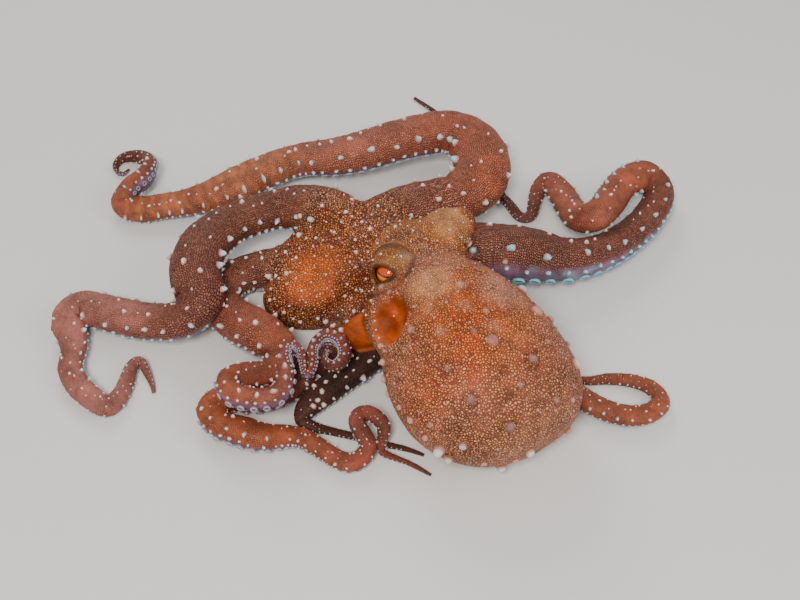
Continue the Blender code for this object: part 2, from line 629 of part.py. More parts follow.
# Mantle, hollowed where the head sits in it and at its opening
mantle = make_mesh("mantle", *mantle_form(), parts)
for centre, half in ((NECK_CENTRE, NECK_HALF), (NAPE_CENTRE, NAPE_HALF)):
    boolean(mantle, [make_mesh("roll", *globe(half, 10, 18, centre), work)], "UNION")
boolean(mantle, [make_mesh("seat", *head_form(GAP), work)], "DIFFERENCE")
for hand, swell, axis, tilt in eye_set:
    ball = np.array(swell) + unit(axis) * (EYE_OUT + 1.0)
    seat = make_mesh("seat", *globe((EYE_RADIUS + 2.4,) * 3, 9, 14, tuple(ball)), work)
    boolean(mantle, [seat], "DIFFERENCE")
bowl = make_mesh("bowl", *globe(BOWL_HALF, 8, 14, BOWL_CENTRE), work)
boolean(mantle, [bowl], "DIFFERENCE")

# Crown with the short start of every arm
dome = globe(DOME_HALF, 12, 22, DOME_CENTRE)
crown_verts = [(x, y, max(z, CROWN_FLOOR)) for x, y, z in dome[0]]
crown = make_mesh("arm_crown", crown_verts, dome[1], parts)
mound = globe(MOUND_HALF, 10, 20, MOUND_CENTRE)
pieces = [make_mesh("mound", [(x, y, max(z, CROWN_FLOOR)) for x, y, z in mound[0]], mound[1], work)]
for half, centre in ((WEB_HALF, WEB_CENTRE), (FOLD_HALF, FOLD_CENTRE)):
    web = globe(half, 10, 20, centre)
    pieces.append(make_mesh("web", [(x, y, max(z, CROWN_FLOOR)) for x, y, z in web[0]], web[1], work))
for arm, cuts in ARM_CUTS.items():
    pieces.append(make_mesh("start", *tube_form(routes[arm], 0.0, cuts[0] - GAP / 2), work))
for piece in pieces:
    boolean(crown, [piece], "UNION")
boolean(crown, [make_mesh("seat", *head_form(GAP), work)], "DIFFERENCE")
boolean(crown, [make_mesh("seat", *mantle_form(GAP), work)], "DIFFERENCE")
for centre, half in ((NECK_CENTRE, NECK_HALF), (NAPE_CENTRE, NAPE_HALF)):
    seat = globe(tuple(h + GAP for h in half), 10, 18, centre)
    boolean(crown, [make_mesh("seat", *seat, work)], "DIFFERENCE")

# Siphon with a short blind bore at its open end
siphon_line = route_of([(*p, 0) for p in SIPHON_ROUTE])
siphon_verts = []
siphon_faces = []
count = 9
for i in range(count):
    s = siphon_line[0][-1] * i / (count - 1)
    p, ahead, side, up, radius = at(siphon_line, s)
    for j in range(12):
        a = 2 * math.pi * j / 12
        siphon_verts.append(tuple(p + (side * math.cos(a) + up * math.sin(a) * 0.92) * radius))
for i in range(count - 1):
    for j in range(12):
        k = (j + 1) % 12
        siphon_faces.append((i * 12 + j, i * 12 + k, (i + 1) * 12 + k, (i + 1) * 12 + j))
siphon_faces.append(tuple(reversed(range(12))))
siphon_faces.append(tuple((count - 1) * 12 + j for j in range(12)))
siphon = make_mesh("siphon", siphon_verts, siphon_faces, parts)
p, ahead, side, up, radius = at(siphon_line, siphon_line[0][-1])
bore_verts = []
for back, size in ((SIPHON_BORE_DEPTH, 0.8), (-1.0, 1.25)):
    for j in range(10):
        a = 2 * math.pi * j / 10
        q = p - ahead * back + (side * math.cos(a) + up * math.sin(a)) * SIPHON_BORE * size
        bore_verts.append(tuple(q))
bore_faces = [(j, (j + 1) % 10, 10 + (j + 1) % 10, 10 + j) for j in range(10)]
bore_faces.append(tuple(reversed(range(10))))
bore_faces.append(tuple(range(10, 20)))
boolean(siphon, [make_mesh("bore", bore_verts, bore_faces, work)], "DIFFERENCE")
boolean(siphon, [make_mesh("seat", *head_form(GAP), work)], "DIFFERENCE")
boolean(siphon, [make_mesh("seat", *mantle_form(GAP), work)], "DIFFERENCE")
for centre, half, rings, sides in ((DOME_CENTRE, DOME_HALF, 12, 22), (MOUND_CENTRE, MOUND_HALF, 10, 20),
                                   (WEB_CENTRE, WEB_HALF, 10, 20), (NECK_CENTRE, NECK_HALF, 10, 18),
                                   (NAPE_CENTRE, NAPE_HALF, 10, 18)):
    grown = globe(tuple(h + GAP for h in half), rings, sides, centre)
    boolean(siphon, [make_mesh("seat", *grown, work)], "DIFFERENCE")
near = tube_form(routes["left_4"], 0.0, 60.0, GAP)
boolean(siphon, [make_mesh("seat", *near, work)], "DIFFERENCE")

# Arms, each in its lengths
arm_objects = []
for arm, cuts in ARM_CUTS.items():
    route = routes[arm]
    ends = list(cuts) + [route[0][-1]]
    for piece, start, end in zip(LENGTH_NAMES[len(cuts)], ends[:-1], ends[1:]):
        first = start + GAP / 2
        last = end - GAP / 2 if piece != "tip" else end
        obj = make_mesh("arm_%s_%s" % (arm, piece), *tube_form(route, first, last), parts)
        add_suckers(obj, route, first, last, work)
        arm_objects.append(obj)

# One material for each piece
for obj in list(parts.objects):
    kind = "arm"
    for word in ("mantle", "head", "eye", "siphon", "crown"):
        if word in obj.name:
            kind = word
    rough = 0.15 if kind == "eye" else 0.45
    mat = material(obj.name + "_skin" if kind != "eye" else obj.name + "_ball", COLOURS[kind], rough)
    obj.data.materials.clear()
    obj.data.materials.append(mat)

bpy.data.collections.remove(work)
for obj in cutters.objects:
    obj.hide_render = True
    obj.display_type = "WIRE"
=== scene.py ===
import math
import random

import bmesh
import bpy
import numpy as np
import openvdb
from mathutils import Matrix, Vector, noise
from mathutils.bvhtree import BVHTree


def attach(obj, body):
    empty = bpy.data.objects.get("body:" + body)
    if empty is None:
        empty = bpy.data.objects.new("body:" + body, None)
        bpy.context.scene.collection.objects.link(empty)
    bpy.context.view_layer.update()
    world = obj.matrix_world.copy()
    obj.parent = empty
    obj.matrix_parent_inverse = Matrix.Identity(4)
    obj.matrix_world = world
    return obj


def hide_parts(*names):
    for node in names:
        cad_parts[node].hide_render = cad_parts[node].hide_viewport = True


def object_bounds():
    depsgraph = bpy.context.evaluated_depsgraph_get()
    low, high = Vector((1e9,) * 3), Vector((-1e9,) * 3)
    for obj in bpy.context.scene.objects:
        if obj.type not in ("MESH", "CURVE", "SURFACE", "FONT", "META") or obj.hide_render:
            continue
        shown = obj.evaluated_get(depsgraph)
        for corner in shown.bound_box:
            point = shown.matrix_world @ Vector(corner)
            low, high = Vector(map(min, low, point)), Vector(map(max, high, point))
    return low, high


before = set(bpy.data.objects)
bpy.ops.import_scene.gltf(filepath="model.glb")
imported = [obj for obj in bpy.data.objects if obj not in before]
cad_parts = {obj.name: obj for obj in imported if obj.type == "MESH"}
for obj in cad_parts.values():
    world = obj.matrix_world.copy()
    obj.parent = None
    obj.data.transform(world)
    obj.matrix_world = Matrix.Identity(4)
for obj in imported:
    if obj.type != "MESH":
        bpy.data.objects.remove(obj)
cad_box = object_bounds()

MM = 0.001
rng = np.random.default_rng(7)
random.seed(7)

# View: the animal is seen from above and in front
PHOTO_WIDTH = 800
PHOTO_HEIGHT = 600
VIEW_LENS = 55.0
VIEW_SENSOR = 36.0
VIEW_ELEVATION = 50.0
VIEW_DISTANCE = 600.0
VIEW_AIM = (11.7, -21.1, 0.0)

# Body sizes in mm, as in the solids
MANTLE_CENTRE = (42.2, -80.7, 31.1)
MANTLE_HALF_LENGTH = 50.1
MANTLE_HALF_WIDTH = 39.9
MANTLE_HALF_HEIGHT = 30.2
MANTLE_YAW = -60.4
MANTLE_PITCH = 12.7
MANTLE_EGG = 0.19
MANTLE_BEND = -5.5
MANTLE_BLUNT = 0.84
MANTLE_NECK_LIFT = 0.4

HEAD_CENTRE = (21.6, -20.1, 32.0)
HEAD_HALF = (21.0, 19.0, 14.0)
HEAD_TURN = 40.0
EYE_SWELL_LEFT = (9.9, -32.5, 37.0)
EYE_SWELL_RIGHT = (33.2, -12.5, 38.2)
EYE_SWELL_RADIUS = 12.3
EYE_RADIUS = 6.4
EYE_OUT = 7.6
EYE_LEFT_AXIS = (-0.36, -0.81, 0.46)
EYE_RIGHT_AXIS = (0.79, 0.47, 0.39)
EYE_TILT = 8.0               # degrees, the opening falls towards the mantle
SLIT_TILT = 4.0              # degrees, of the slit pupil
EYE_BULGE = 0.22
LID_THICK = 1.4
OPENING_LEFT = (7.2, 4.9)    # half length and half height between the lids
OPENING_RIGHT = (4.0, 1.3)

DOME_CENTRE = (-19.3, -9.1, 9.0)
DOME_HALF = (30.0, 27.0, 24.0)
MOUND_CENTRE = (13.7, -18.1, 6.0)
MOUND_HALF = (27.0, 22.0, 15.0)
WEB_CENTRE = (2.0, -4.0, 18.0)
WEB_HALF = (26.0, 22.0, 17.5)
FOLD_CENTRE = (-32.5, -27.0, 8.0)
FOLD_HALF = (22.0, 15.5, 16.5)
CROWN_FLOOR = 1.6

NECK_CENTRE = (9.0, -58.0, 32.0)
NECK_HALF = (14.0, 19.0, 13.0)
NAPE_CENTRE = (23.0, -38.0, 33.0)
NAPE_HALF = (19.0, 17.0, 14.5)

# Middle line of the siphon as x, y, z, radius
SIPHON_ROUTE = [(11, -50, 23, 8.3), (3.5, -53.5, 21.7, 8.4), (-4.5, -55.5, 19.6, 8),
                (-13.5, -57.5, 16.4, 6)]
SIPHON_MOUTH_HALF = (4.4, 3.6, 3.6)
BOWL_CENTRE = (8.0, -71.0, 45.0)
BOWL_HALF = (7.2, 11.0, 9.0)
BOWL_RIM_CENTRE = (8.0, -71.0, 40.0)
BOWL_RIM_HALF = (BOWL_HALF[0] + 1.6, BOWL_HALF[1] + 1.6, BOWL_HALF[2] - 2.0)
BOWL_HOLLOW_CENTRE = (8.2, -71.0, 46.6)
LOBE_CENTRE = (6.6, -72.0, 38.8)
LOBE_HALF = (4.4, 6.8, 4.4)

ARM_FLAT = 0.76
SECTION_POWER = 2.25         # 2 is an ellipse, more is boxier
SECTION_BELLY = 0.9          # flatter sucker side
GRANULE_SHARE = 0.095        # spacing of the rows of granules, as a share of the arm's width
GRANULE_LIMITS = (0.6, 1.9)
PAPILLA_TRIES = 2500
PAD_MARGIN = 0.02            # pads stay this far inside the box of the solids
THIRD_INDEX = 1.2            # a join divided by this is the route's index a third of the way to it

# Arms: middle line as x, y, z, then full width, then roll of the sucker side in degrees
ARM_ROUTES = {
    # left first arm: over the left side, forward and down to a small hook
    "left_1": [
        (-11.7, 2.3, 26.6, 26.3, 0), (-25.3, 13.9, 26.5, 26.1, 0), (-40.4, 18.7, 24.4, 23.8, -1),
        (-56.9, 16.6, 22.3, 21.4, -2), (-71.8, 7.2, 23.6, 22.1, -2), (-82.7, -8.6, 25.6, 24.1, -2),
        (-85.2, -25.5, 25.8, 24.6, -3), (-81.7, -39.7, 22.9, 22.6, -4), (-89, -46, 16.6, 20.1, -4),
        (-102.5, -44.1, 11.3, 19.3, -4), (-117.6, -39.9, 9.1, 19, -5),
        (-131.6, -35.5, 8.9, 18.6, -7), (-141.1, -33.4, 8.7, 18.2, -8),
        (-146.3, -39.8, 8.2, 17.1, -10), (-143.1, -49, 6.8, 14.2, -12),
        (-141.1, -56.6, 5.8, 12.2, -15), (-141.3, -66.3, 5.6, 11.6, -17),
        (-136.4, -76, 5.5, 11.5, -20), (-128.4, -83.7, 5.2, 10.9, -22),
        (-120.7, -88.2, 4.6, 9.5, -25), (-116.4, -81.6, 3.9, 8.2, -27),
        (-114.4, -72.3, 3.5, 7.4, -30), (-113.1, -64.5, 3.9, 6.1, -60),
        (-109.9, -61.2, 3.5, 5.1, -55), (-106.1, -66.6, 2, 4.2, -50), (-103, -73, 1.4, 3, -45),
        (-101.6, -77.8, 0.9, 1.8, -40),
    ],
    # left second arm: bends back under the first one, then coils on top of the pile
    "left_2": [
        (-27.7, -17, 19.1, 23.1, 5), (-41.8, -12.3, 15.3, 21.4, 4), (-55.8, -10.9, 11.4, 19.6, 3),
        (-67.6, -13.3, 8.9, 18.6, 2), (-73.4, -19.5, 8.6, 18, 2), (-74.5, -28.5, 8.8, 18.3, 1),
        (-69, -39.3, 10.6, 19.9, 0), (-59.3, -49, 14.3, 21.5, 6), (-49.6, -58, 17.4, 20.5, 12),
        (-42.8, -64.4, 16.7, 16, 6), (-42.4, -71, 15.6, 13.4, 0), (-48.3, -77, 16, 10.8, 18),
        (-57, -79.6, 18, 11.2, 35), (-64.4, -84.6, 19.6, 12.5, 52), (-61.3, -92.8, 21.1, 13.6, 54),
        (-50.4, -96.7, 22.1, 13.6, 56), (-41.7, -95, 23.5, 12.2, 58),
        (-38.5, -87.2, 24.7, 10.6, 70), (-40, -77.3, 24.7, 8.9, 88), (-37.9, -69.1, 24.3, 7.2, 105),
        (-33.3, -70.9, 23.6, 5.8, 92), (-31.3, -77.6, 21.4, 4.9, 80), (-29.6, -83.7, 21.3, 4.9, 77),
        (-27.2, -78.5, 22.6, 5.4, 73), (-27.7, -69.6, 24.1, 6.5, 70), (-22.3, -63.2, 24.8, 7.9, 70),
        (-15, -66.1, 24.8, 7.9, 70), (-12.9, -74.7, 24.2, 6.7, 70), (-17.2, -79.8, 23.6, 5.3, 70),
        (-21.9, -75.5, 22.2, 3.6, 70), (-22.6, -70.6, 21.8, 2.7, 70), (-20.4, -68.1, 21.5, 2, 70),
        (-18.1, -69.6, 21.3, 1.6, 70),
    ],
    # left third arm: under the pile, along its near edge, then a small raised loop
    "left_3": [
        (-0.9, -22.5, 10.7, 20.3, 0), (-6, -32.8, 10.2, 19.1, -1), (-12, -41.8, 8.4, 17.6, -1),
        (-18.8, -52.1, 7.7, 16, -2), (-25.9, -63.4, 7.1, 14.9, -3), (-34.2, -74, 6.6, 13.8, -4),
        (-42.9, -81.3, 6.6, 13.7, -4), (-54, -85.1, 6.5, 13.6, -5), (-65.9, -83.9, 6.3, 13.2, 10),
        (-73.4, -90.6, 6.5, 13.5, 25), (-68, -99.4, 7.5, 15.6, 42), (-58.2, -103.4, 7.9, 16.4, 38),
        (-48.4, -106.1, 7.2, 15, 34), (-40.2, -104.8, 6, 12.4, 30), (-32.7, -104.6, 4.9, 10.2, 25),
        (-25, -109.1, 4.5, 9.3, 20), (-17.3, -114.6, 4.2, 8.8, 15), (-10.2, -117.8, 4.4, 9.2, 8),
        (-5, -115.4, 5, 8.3, 0), (-2.1, -110.6, 6.8, 7.9, -8), (-4.8, -105.8, 9.8, 7.9, -15),
        (-7.7, -100.6, 11.6, 7.5, -17), (-5.6, -97, 12.5, 7.3, -18), (0.2, -97.9, 12.3, 6.9, -20),
        (4.6, -102.7, 10, 6.2, -17), (3.7, -107.1, 6.3, 4.9, -13), (3.3, -110.6, 2.8, 3.8, -10),
        (7.3, -112.4, 1.5, 3.1, -7), (15.7, -115.8, 1.2, 2.4, -3), (25.3, -121.7, 0.7, 1.5, 0),
    ],
    # left fourth arm: short, from under the siphon, its dark colour painted shade
    "left_4": [
        (13.6, -30.8, 11.6, 22, 0), (10.8, -41.6, 11.2, 21.3, 0), (6.1, -51.3, 9.8, 18.3, 0),
        (-4.1, -63.8, 7.6, 15.8, 0), (-14.9, -73.6, 6.8, 14.2, 0), (-24.7, -83.2, 6.1, 12.7, 0),
        (-30.8, -89.6, 5, 10.4, 0), (-32.4, -94.5, 3.5, 7.2, 0), (-28.3, -97.2, 2.6, 5.4, 0),
        (-19.7, -99.4, 1.9, 4, 0), (-9.8, -102, 1.7, 3.6, 0), (4.6, -106.1, 1.5, 3.1, 0),
        (14.4, -108.5, 1.2, 2.4, 0), (22.3, -111.4, 0.7, 1.6, 0),
    ],
    # right first arm: back over the head and away to the left, the tip curled over
    "right_1": [
        (-6.8, 1.4, 24.8, 22.4, 0), (3.8, 12.1, 24.9, 22.7, -1), (16.7, 18.4, 25.4, 23.8, -2),
        (30.7, 22.6, 24, 24.9, -4), (42.9, 29, 21.8, 26.7, -5), (51.9, 40.3, 21.9, 29, -6),
        (53.7, 56.6, 21.2, 29.6, -8), (48.1, 72.9, 19.4, 28, -9), (36.7, 79.9, 18.8, 26.6, -10),
        (23.4, 78.9, 17.5, 26.1, -13), (10.6, 74.8, 17.3, 25.7, -15), (-4.1, 69.2, 16.4, 25.9, -18),
        (-20, 65.9, 14.5, 24, -15), (-41.2, 65.9, 11.7, 20.1, -11), (-60.6, 55.9, 11.8, 20.4, -8),
        (-72.5, 47.8, 11.7, 20.3, -4), (-85.5, 41, 10.4, 17.6, 0), (-97.9, 38.2, 8.2, 15, 2),
        (-110.9, 36.7, 6.7, 14, 5), (-122.5, 34.6, 6.7, 13.9, 18), (-131.6, 38.6, 7.7, 14, 30),
        (-129.1, 43.4, 11.7, 14, 60), (-122.8, 50.8, 11.6, 13.8, 72), (-120.4, 61.9, 9.6, 11.6, 72),
        (-125, 72.3, 6.2, 8.8, 71), (-132.5, 76.9, 4.1, 6.5, 71), (-139.1, 76.3, 2.5, 5.1, 71),
        (-141.5, 69.9, 1.9, 4, 71), (-137.1, 65.1, 1.4, 2.9, 70), (-134.1, 69.4, 0.9, 1.9, 70),
    ],
    # right second arm: out to the right, back in two waves, the thin end crosses below
    "right_2": [
        (5.9, -12.6, 18.5, 28.1, 5), (21.5, -6.1, 17.1, 29.3, 14), (38.6, -4.7, 17, 33.2, 24),
        (55.7, -5.1, 17.4, 36.1, 34), (74.2, -6.4, 16.6, 34.7, 34), (92.6, -6.4, 13.4, 27.9, 34),
        (110.8, 0.4, 10.9, 22.8, 34), (129.1, 15, 9.6, 19.9, 34), (140.8, 30.2, 9, 18.7, 38),
        (146.1, 44.8, 8.9, 16.4, 42), (139.8, 51.9, 13.5, 15.6, 42), (126.4, 41.5, 18.6, 15.9, 42),
        (117.3, 26.3, 21, 16.6, 42), (108.8, 14.5, 22.4, 15.4, 42), (101.9, 16.1, 18.9, 14.5, 28),
        (98.3, 29.3, 12.8, 14.3, 15), (95, 45.1, 8.5, 13.5, 14), (89.7, 55.5, 6.3, 11.1, 12),
        (84.9, 51.6, 4.3, 8.9, 11), (81.6, 41.4, 3.4, 7, 10), (79, 32.7, 2.7, 5.7, 9),
        (74.3, 32.1, 2.6, 5.4, 8), (70.1, 39.3, 2.6, 5.5, 6), (64.4, 49.9, 2.3, 4.7, 5),
        (55.7, 68.5, 1.8, 3.8, 4), (44.7, 92.4, 1.6, 3.3, 2), (31.9, 114.9, 1.3, 2.8, 1),
        (19.7, 128.1, 1, 2, 0),
    ],
    # right third arm: along the far side of the mantle, out and back in a narrow loop
    "right_3": [
        (11.7, -23.4, 10.2, 21.3, 0), (30.9, -28.8, 9.2, 19.2, 3), (52.1, -40.2, 8, 16.7, 6),
        (71.6, -56.7, 6.7, 14, 9), (86.1, -74.9, 5.5, 11.5, 12), (97.8, -86.6, 5.4, 11.3, 15),
        (111.6, -93, 5.2, 10.8, 13), (123.4, -92.1, 4.8, 9.9, 12), (130.4, -85.1, 4.1, 8.6, 10),
        (127.9, -77.4, 3.5, 7.3, 8), (118.9, -72.5, 3.1, 6.5, 7), (108, -71.1, 2.7, 5.6, 5),
        (98.7, -71.7, 2, 4.2, 3), (92.1, -69, 1.3, 2.8, 2), (87.6, -62.2, 0.9, 1.9, 0),
    ],
    # right fourth arm: tucked below the mantle, all of it hidden from above
    "right_4": [
        (13.7, -24.1, 8, 19, 0), (18.2, -38.1, 7.5, 16, 0), (23.2, -49.1, 6.2, 13, 0),
        (31.7, -56.6, 5, 10.5, 0), (41.7, -57.1, 4.2, 8.5, 0), (46.2, -50.1, 3.5, 6.8, 0),
        (42.2, -44.1, 3, 5.2, 0), (36.5, -44.9, 2.3, 3.8, 0), (35.5, -48.6, 1.6, 2.6, 0),
    ],
}
# Where the smooth core ends and the drawn-out arm begins, along each arm in mm
ARM_JOIN = {
    "left_1": 42, "left_2": 34, "left_3": 36, "left_4": 40,
    "right_1": 50, "right_2": 52, "right_3": 50, "right_4": 32,
}
ROUTE_STEP = 0.4             # mm between the points of a route
VOXEL = 0.62                 # mm, of the core's distance field
LOW = np.array([-78.0, -133.0, -3.0])
HIGH = np.array([98.0, 62.0, 66.0])
SHAPE = tuple(int(v) for v in np.ceil((HIGH - LOW) / VOXEL))
EMPTY = 12.0                 # the field's value away from any flesh
CORE_FLOOR = 0.02
SKIN_FLOOR = 0.03
RING = 40                    # points around an arm
RING_SPACING = 0.055         # between rings, as a share of the arm's width
SQUEEZE_LIMIT = 0.82         # how near the flesh comes to the middle of a bend, 1 is all the way
SEAM_ROUNDS = 14             # of easing where an arm meets the core


# Routes

STATION = ("place", "ahead", "side", "up", "width")


def unit(v):
    v = np.asarray(v, float)
    return v / np.linalg.norm(v)


def rows_unit(v):
    return v / np.linalg.norm(v, axis=-1, keepdims=True)


def length_along(line):
    return np.r_[0, np.cumsum(np.linalg.norm(np.diff(line[:, :3], axis=0), axis=1))]


def resample(line, places):
    far = length_along(line)
    return np.stack([np.interp(places, far, line[:, k]) for k in range(line.shape[1])], 1)


def smooth(rows, rounds):
    for _ in range(rounds):
        rows[1:-1] = 0.5 * rows[1:-1] + 0.25 * (rows[:-2] + rows[2:])


def between(u, a, b, at_a, at_b):
    return (b - u) / (b - a) * at_a + (u - a) / (b - a) * at_b


def curve_through(points):
    # closely spaced points of a curve through given ones
    pts = np.array(points, float)
    pts = np.vstack([2 * pts[0] - pts[1], pts, 2 * pts[-1] - pts[-2]])
    dense = []
    for i in range(1, len(pts) - 2):
        p = pts[i - 1:i + 3]
        t = [0.0]
        for a, b in ((0, 1), (1, 2), (2, 3)):
            t.append(t[-1] + max(np.linalg.norm((p[b] - p[a])[:3]), 1e-6) ** 0.5)
        for u in np.linspace(t[1], t[2], 20, endpoint=False):
            first, middle, last = (between(u, t[k], t[k + 1], p[k], p[k + 1]) for k in range(3))
            before = between(u, t[0], t[2], first, middle)
            after = between(u, t[1], t[3], middle, last)
            dense.append(between(u, t[1], t[2], before, after))
    dense.append(pts[-2])
    return np.array(dense)


def walk(points):
    # evenly spaced places along the curve, with the width and the directions at each
    line = curve_through(points)
    end = length_along(line)[-1]
    line = resample(line, np.linspace(0, end, int(end / 0.75) + 2))
    smooth(line, 8)
    even = np.arange(0, length_along(line)[-1], ROUTE_STEP)
    line = resample(line, even)
    smooth(line[:, :3], 3)
    ahead = rows_unit(np.gradient(line[:, :3], axis=0))
    side = rows_unit(np.cross(ahead, (0, 0, 1)))
    up = np.cross(side, ahead)
    roll = np.radians(line[:, 4])[:, None]
    bend = np.gradient(ahead, axis=0) / ROUTE_STEP
    smooth(bend, 6)
    return {"far": even, "place": line[:, :3], "width": line[:, 3], "ahead": ahead,
            "side": side * np.cos(roll) + up * np.sin(roll),
            "up": up * np.cos(roll) - side * np.sin(roll), "bend": bend, "end": even[-1]}


def index_at(route, far):
    i = int(round(min(max(far, 0), route["end"]) / ROUTE_STEP))
    return min(i, len(route["far"]) - 1)


def pick(route, far):
    i = index_at(route, far)
    return tuple(route[key][i] for key in STATION)


routes = {arm: walk(points) for arm, points in ARM_ROUTES.items()}


# Distance fields for the core

field = np.full(SHAPE, EMPTY, np.float32)


def window(low, high):
    # the part of the field between two corners, and its places
    a = np.clip(np.floor((np.asarray(low) - LOW) / VOXEL).astype(int), 0, SHAPE)
    b = np.clip(np.ceil((np.asarray(high) - LOW) / VOXEL).astype(int) + 1, 0, SHAPE)
    cut = tuple(slice(i, j) for i, j in zip(a, b))
    axes = [LOW[k] + VOXEL * np.arange(a[k], b[k], dtype=np.float32) for k in range(3)]
    return cut, np.meshgrid(*axes, indexing="ij")


def melt(cut, distance, soft):
    # smooth union
    old = field[cut]
    share = np.clip(0.5 + 0.5 * (old - distance) / soft, 0, 1)
    field[cut] = old * (1 - share) + distance * share - soft * share * (1 - share)


def carve(cut, distance, soft):
    # smooth cut
    old = field[cut]
    share = np.clip(0.5 - 0.5 * (old + distance) / soft, 0, 1)
    field[cut] = old * (1 - share) - distance * share + soft * share * (1 - share)


def along_axes(grid, centre, axes):
    rel = [grid[k] - centre[k] for k in range(3)]
    return [sum(rel[k] * axis[k] for k in range(3)) for axis in axes]


def ball_distance(grid, centre, half, turn=0.0):
    co, si = math.cos(math.radians(turn)), math.sin(math.radians(turn))
    x, y, z = grid[0] - centre[0], grid[1] - centre[1], grid[2] - centre[2]
    x, y = x * co + y * si, -x * si + y * co
    k0 = np.sqrt((x / half[0]) ** 2 + (y / half[1]) ** 2 + (z / half[2]) ** 2)
    k1 = np.sqrt((x / half[0] ** 2) ** 2 + (y / half[1] ** 2) ** 2 + (z / half[2] ** 2) ** 2) + 1e-9
    return k0 * (k0 - 1) / k1


def add_ball(centre, half, soft, turn=0.0, floor=None, cut_out=False):
    reach = max(half) + 9
    cut, grid = window(np.array(centre) - reach, np.array(centre) + reach)
    distance = ball_distance(grid, centre, half, turn)
    if floor is not None:
        distance = np.maximum(distance, floor - grid[2])
    if cut_out:
        carve(cut, distance, soft)
    else:
        melt(cut, distance, soft)


def mantle_axes():
    yaw = math.radians(MANTLE_YAW)
    pitch = math.radians(MANTLE_PITCH)
    back = np.array([math.cos(yaw) * math.cos(pitch), math.sin(yaw) * math.cos(pitch), -math.sin(pitch)])
    side = unit(np.cross(back, (0, 0, 1)))
    return back, side, np.cross(side, back)


def add_mantle():
    # a blunt egg with a bent middle line, in the same terms as the solid
    centre = np.array(MANTLE_CENTRE)
    reach = 68
    mean_half = 33.0
    cut, grid = window(centre - reach, centre + reach)
    back, side, up = along_axes(grid, centre, mantle_axes())
    back = back / MANTLE_HALF_LENGTH
    inner = np.clip(1 - back * back, 0, 1)
    size = inner ** (MANTLE_BLUNT / 2) * (1 + MANTLE_EGG * back)
    high = MANTLE_HALF_HEIGHT * np.where(up < 0, 1 - MANTLE_NECK_LIFT * np.clip(-back, 0, 1), 1.0)
    across = np.sqrt(((side - MANTLE_BEND * back * back) / MANTLE_HALF_WIDTH) ** 2 + (up / high) ** 2)
    form = (across - size + np.maximum(np.abs(back) - 1, 0) * 1.2) * mean_half
    slope = np.gradient(form, VOXEL)
    grade = np.sqrt(slope[0] ** 2 + slope[1] ** 2 + slope[2] ** 2)
    distance = form / np.maximum(grade, 0.35)
    melt(cut, np.maximum(distance, CORE_FLOOR - grid[2]).astype(np.float32), 5.0)


def section_distance(x, y, width):
    # from the outline of an arm's cross-section, less than 0 inside it
    a = width / 2
    b = width / 2 * ARM_FLAT
    b = np.where(y < 0, b * SECTION_BELLY, b)
    powers = (np.abs(x) / a) ** SECTION_POWER + (np.abs(y) / b) ** SECTION_POWER
    form = powers ** (1 / SECTION_POWER) + 1e-6
    r = np.sqrt(x * x + y * y) + 1e-6
    return r - r / form


def add_tube(route, start, end, soft, round_section=False):
    keep = (route["far"] >= start) & (route["far"] <= end)
    place, ahead, side, up, width = (route[key][keep][::2] for key in STATION)
    pad = width.max() / 2 + 8
    cut, _ = window(place.min(0) - pad, place.max(0) + pad)
    corner = np.array([c.start for c in cut])
    best = np.full(field[cut].shape, 1e9, np.float32)
    tube = np.full(field[cut].shape, EMPTY, np.float32)
    for i in range(len(place)):
        pad = width[i] / 2 + 8
        part, grid = window(place[i] - pad, place[i] + pad)
        part = tuple(slice(max(c.start - o, 0), max(c.stop - o, 0)) for c, o in zip(part, corner))
        rel = [grid[k] - place[i][k] for k in range(3)]
        square = rel[0] ** 2 + rel[1] ** 2 + rel[2] ** 2
        near = square < best[part]
        best[part] = np.where(near, square, best[part])
        q = np.stack([r[near] for r in rel], 1)
        along = q @ ahead[i]
        if round_section:
            distance = np.linalg.norm(q - along[:, None] * ahead[i], axis=1) - width[i] / 2
        else:
            distance = section_distance(q @ side[i], q @ up[i], width[i])
        if i == 0:
            rounded = np.sqrt(along ** 2 + np.maximum(distance, 0) ** 2) + np.minimum(distance, 0)
            distance = np.where(along < 0, rounded, distance)
        if i == len(place) - 1:
            distance = np.maximum(distance, along - 0.5)
        tube[part][near] = distance
    height = window(LOW, HIGH)[1][2][cut]
    melt(cut, np.maximum(tube, CORE_FLOOR - height), soft)


def eye_axes(axis, tilt):
    axis = unit(axis)
    across = unit(np.cross((0, 0, 1), axis))
    upward = np.cross(axis, across)
    tilt = math.radians(tilt)
    across = across * math.cos(tilt) + upward * math.sin(tilt)
    return axis, across, np.cross(axis, across)


EYES = {}
for hand, swell, axis, tilt, opening in (
        ("left", EYE_SWELL_LEFT, EYE_LEFT_AXIS, -EYE_TILT, OPENING_LEFT),
        ("right", EYE_SWELL_RIGHT, EYE_RIGHT_AXIS, EYE_TILT, OPENING_RIGHT)):
    axis, across, upward = eye_axes(axis, tilt)
    EYES[hand] = {"axis": axis, "across": across, "up": upward, "opening": opening,
                  "ball": np.array(swell) + axis * EYE_OUT}


def lens_distance(u, v, half_long, half_high):
    # from the outline of an opening between two arcs, less than 0 inside it
    curve = (half_long ** 2 + half_high ** 2) / (2 * half_high)
    drop = curve - half_high
    return np.maximum(np.sqrt(u * u + (v + drop) ** 2), np.sqrt(u * u + (v - drop) ** 2)) - curve


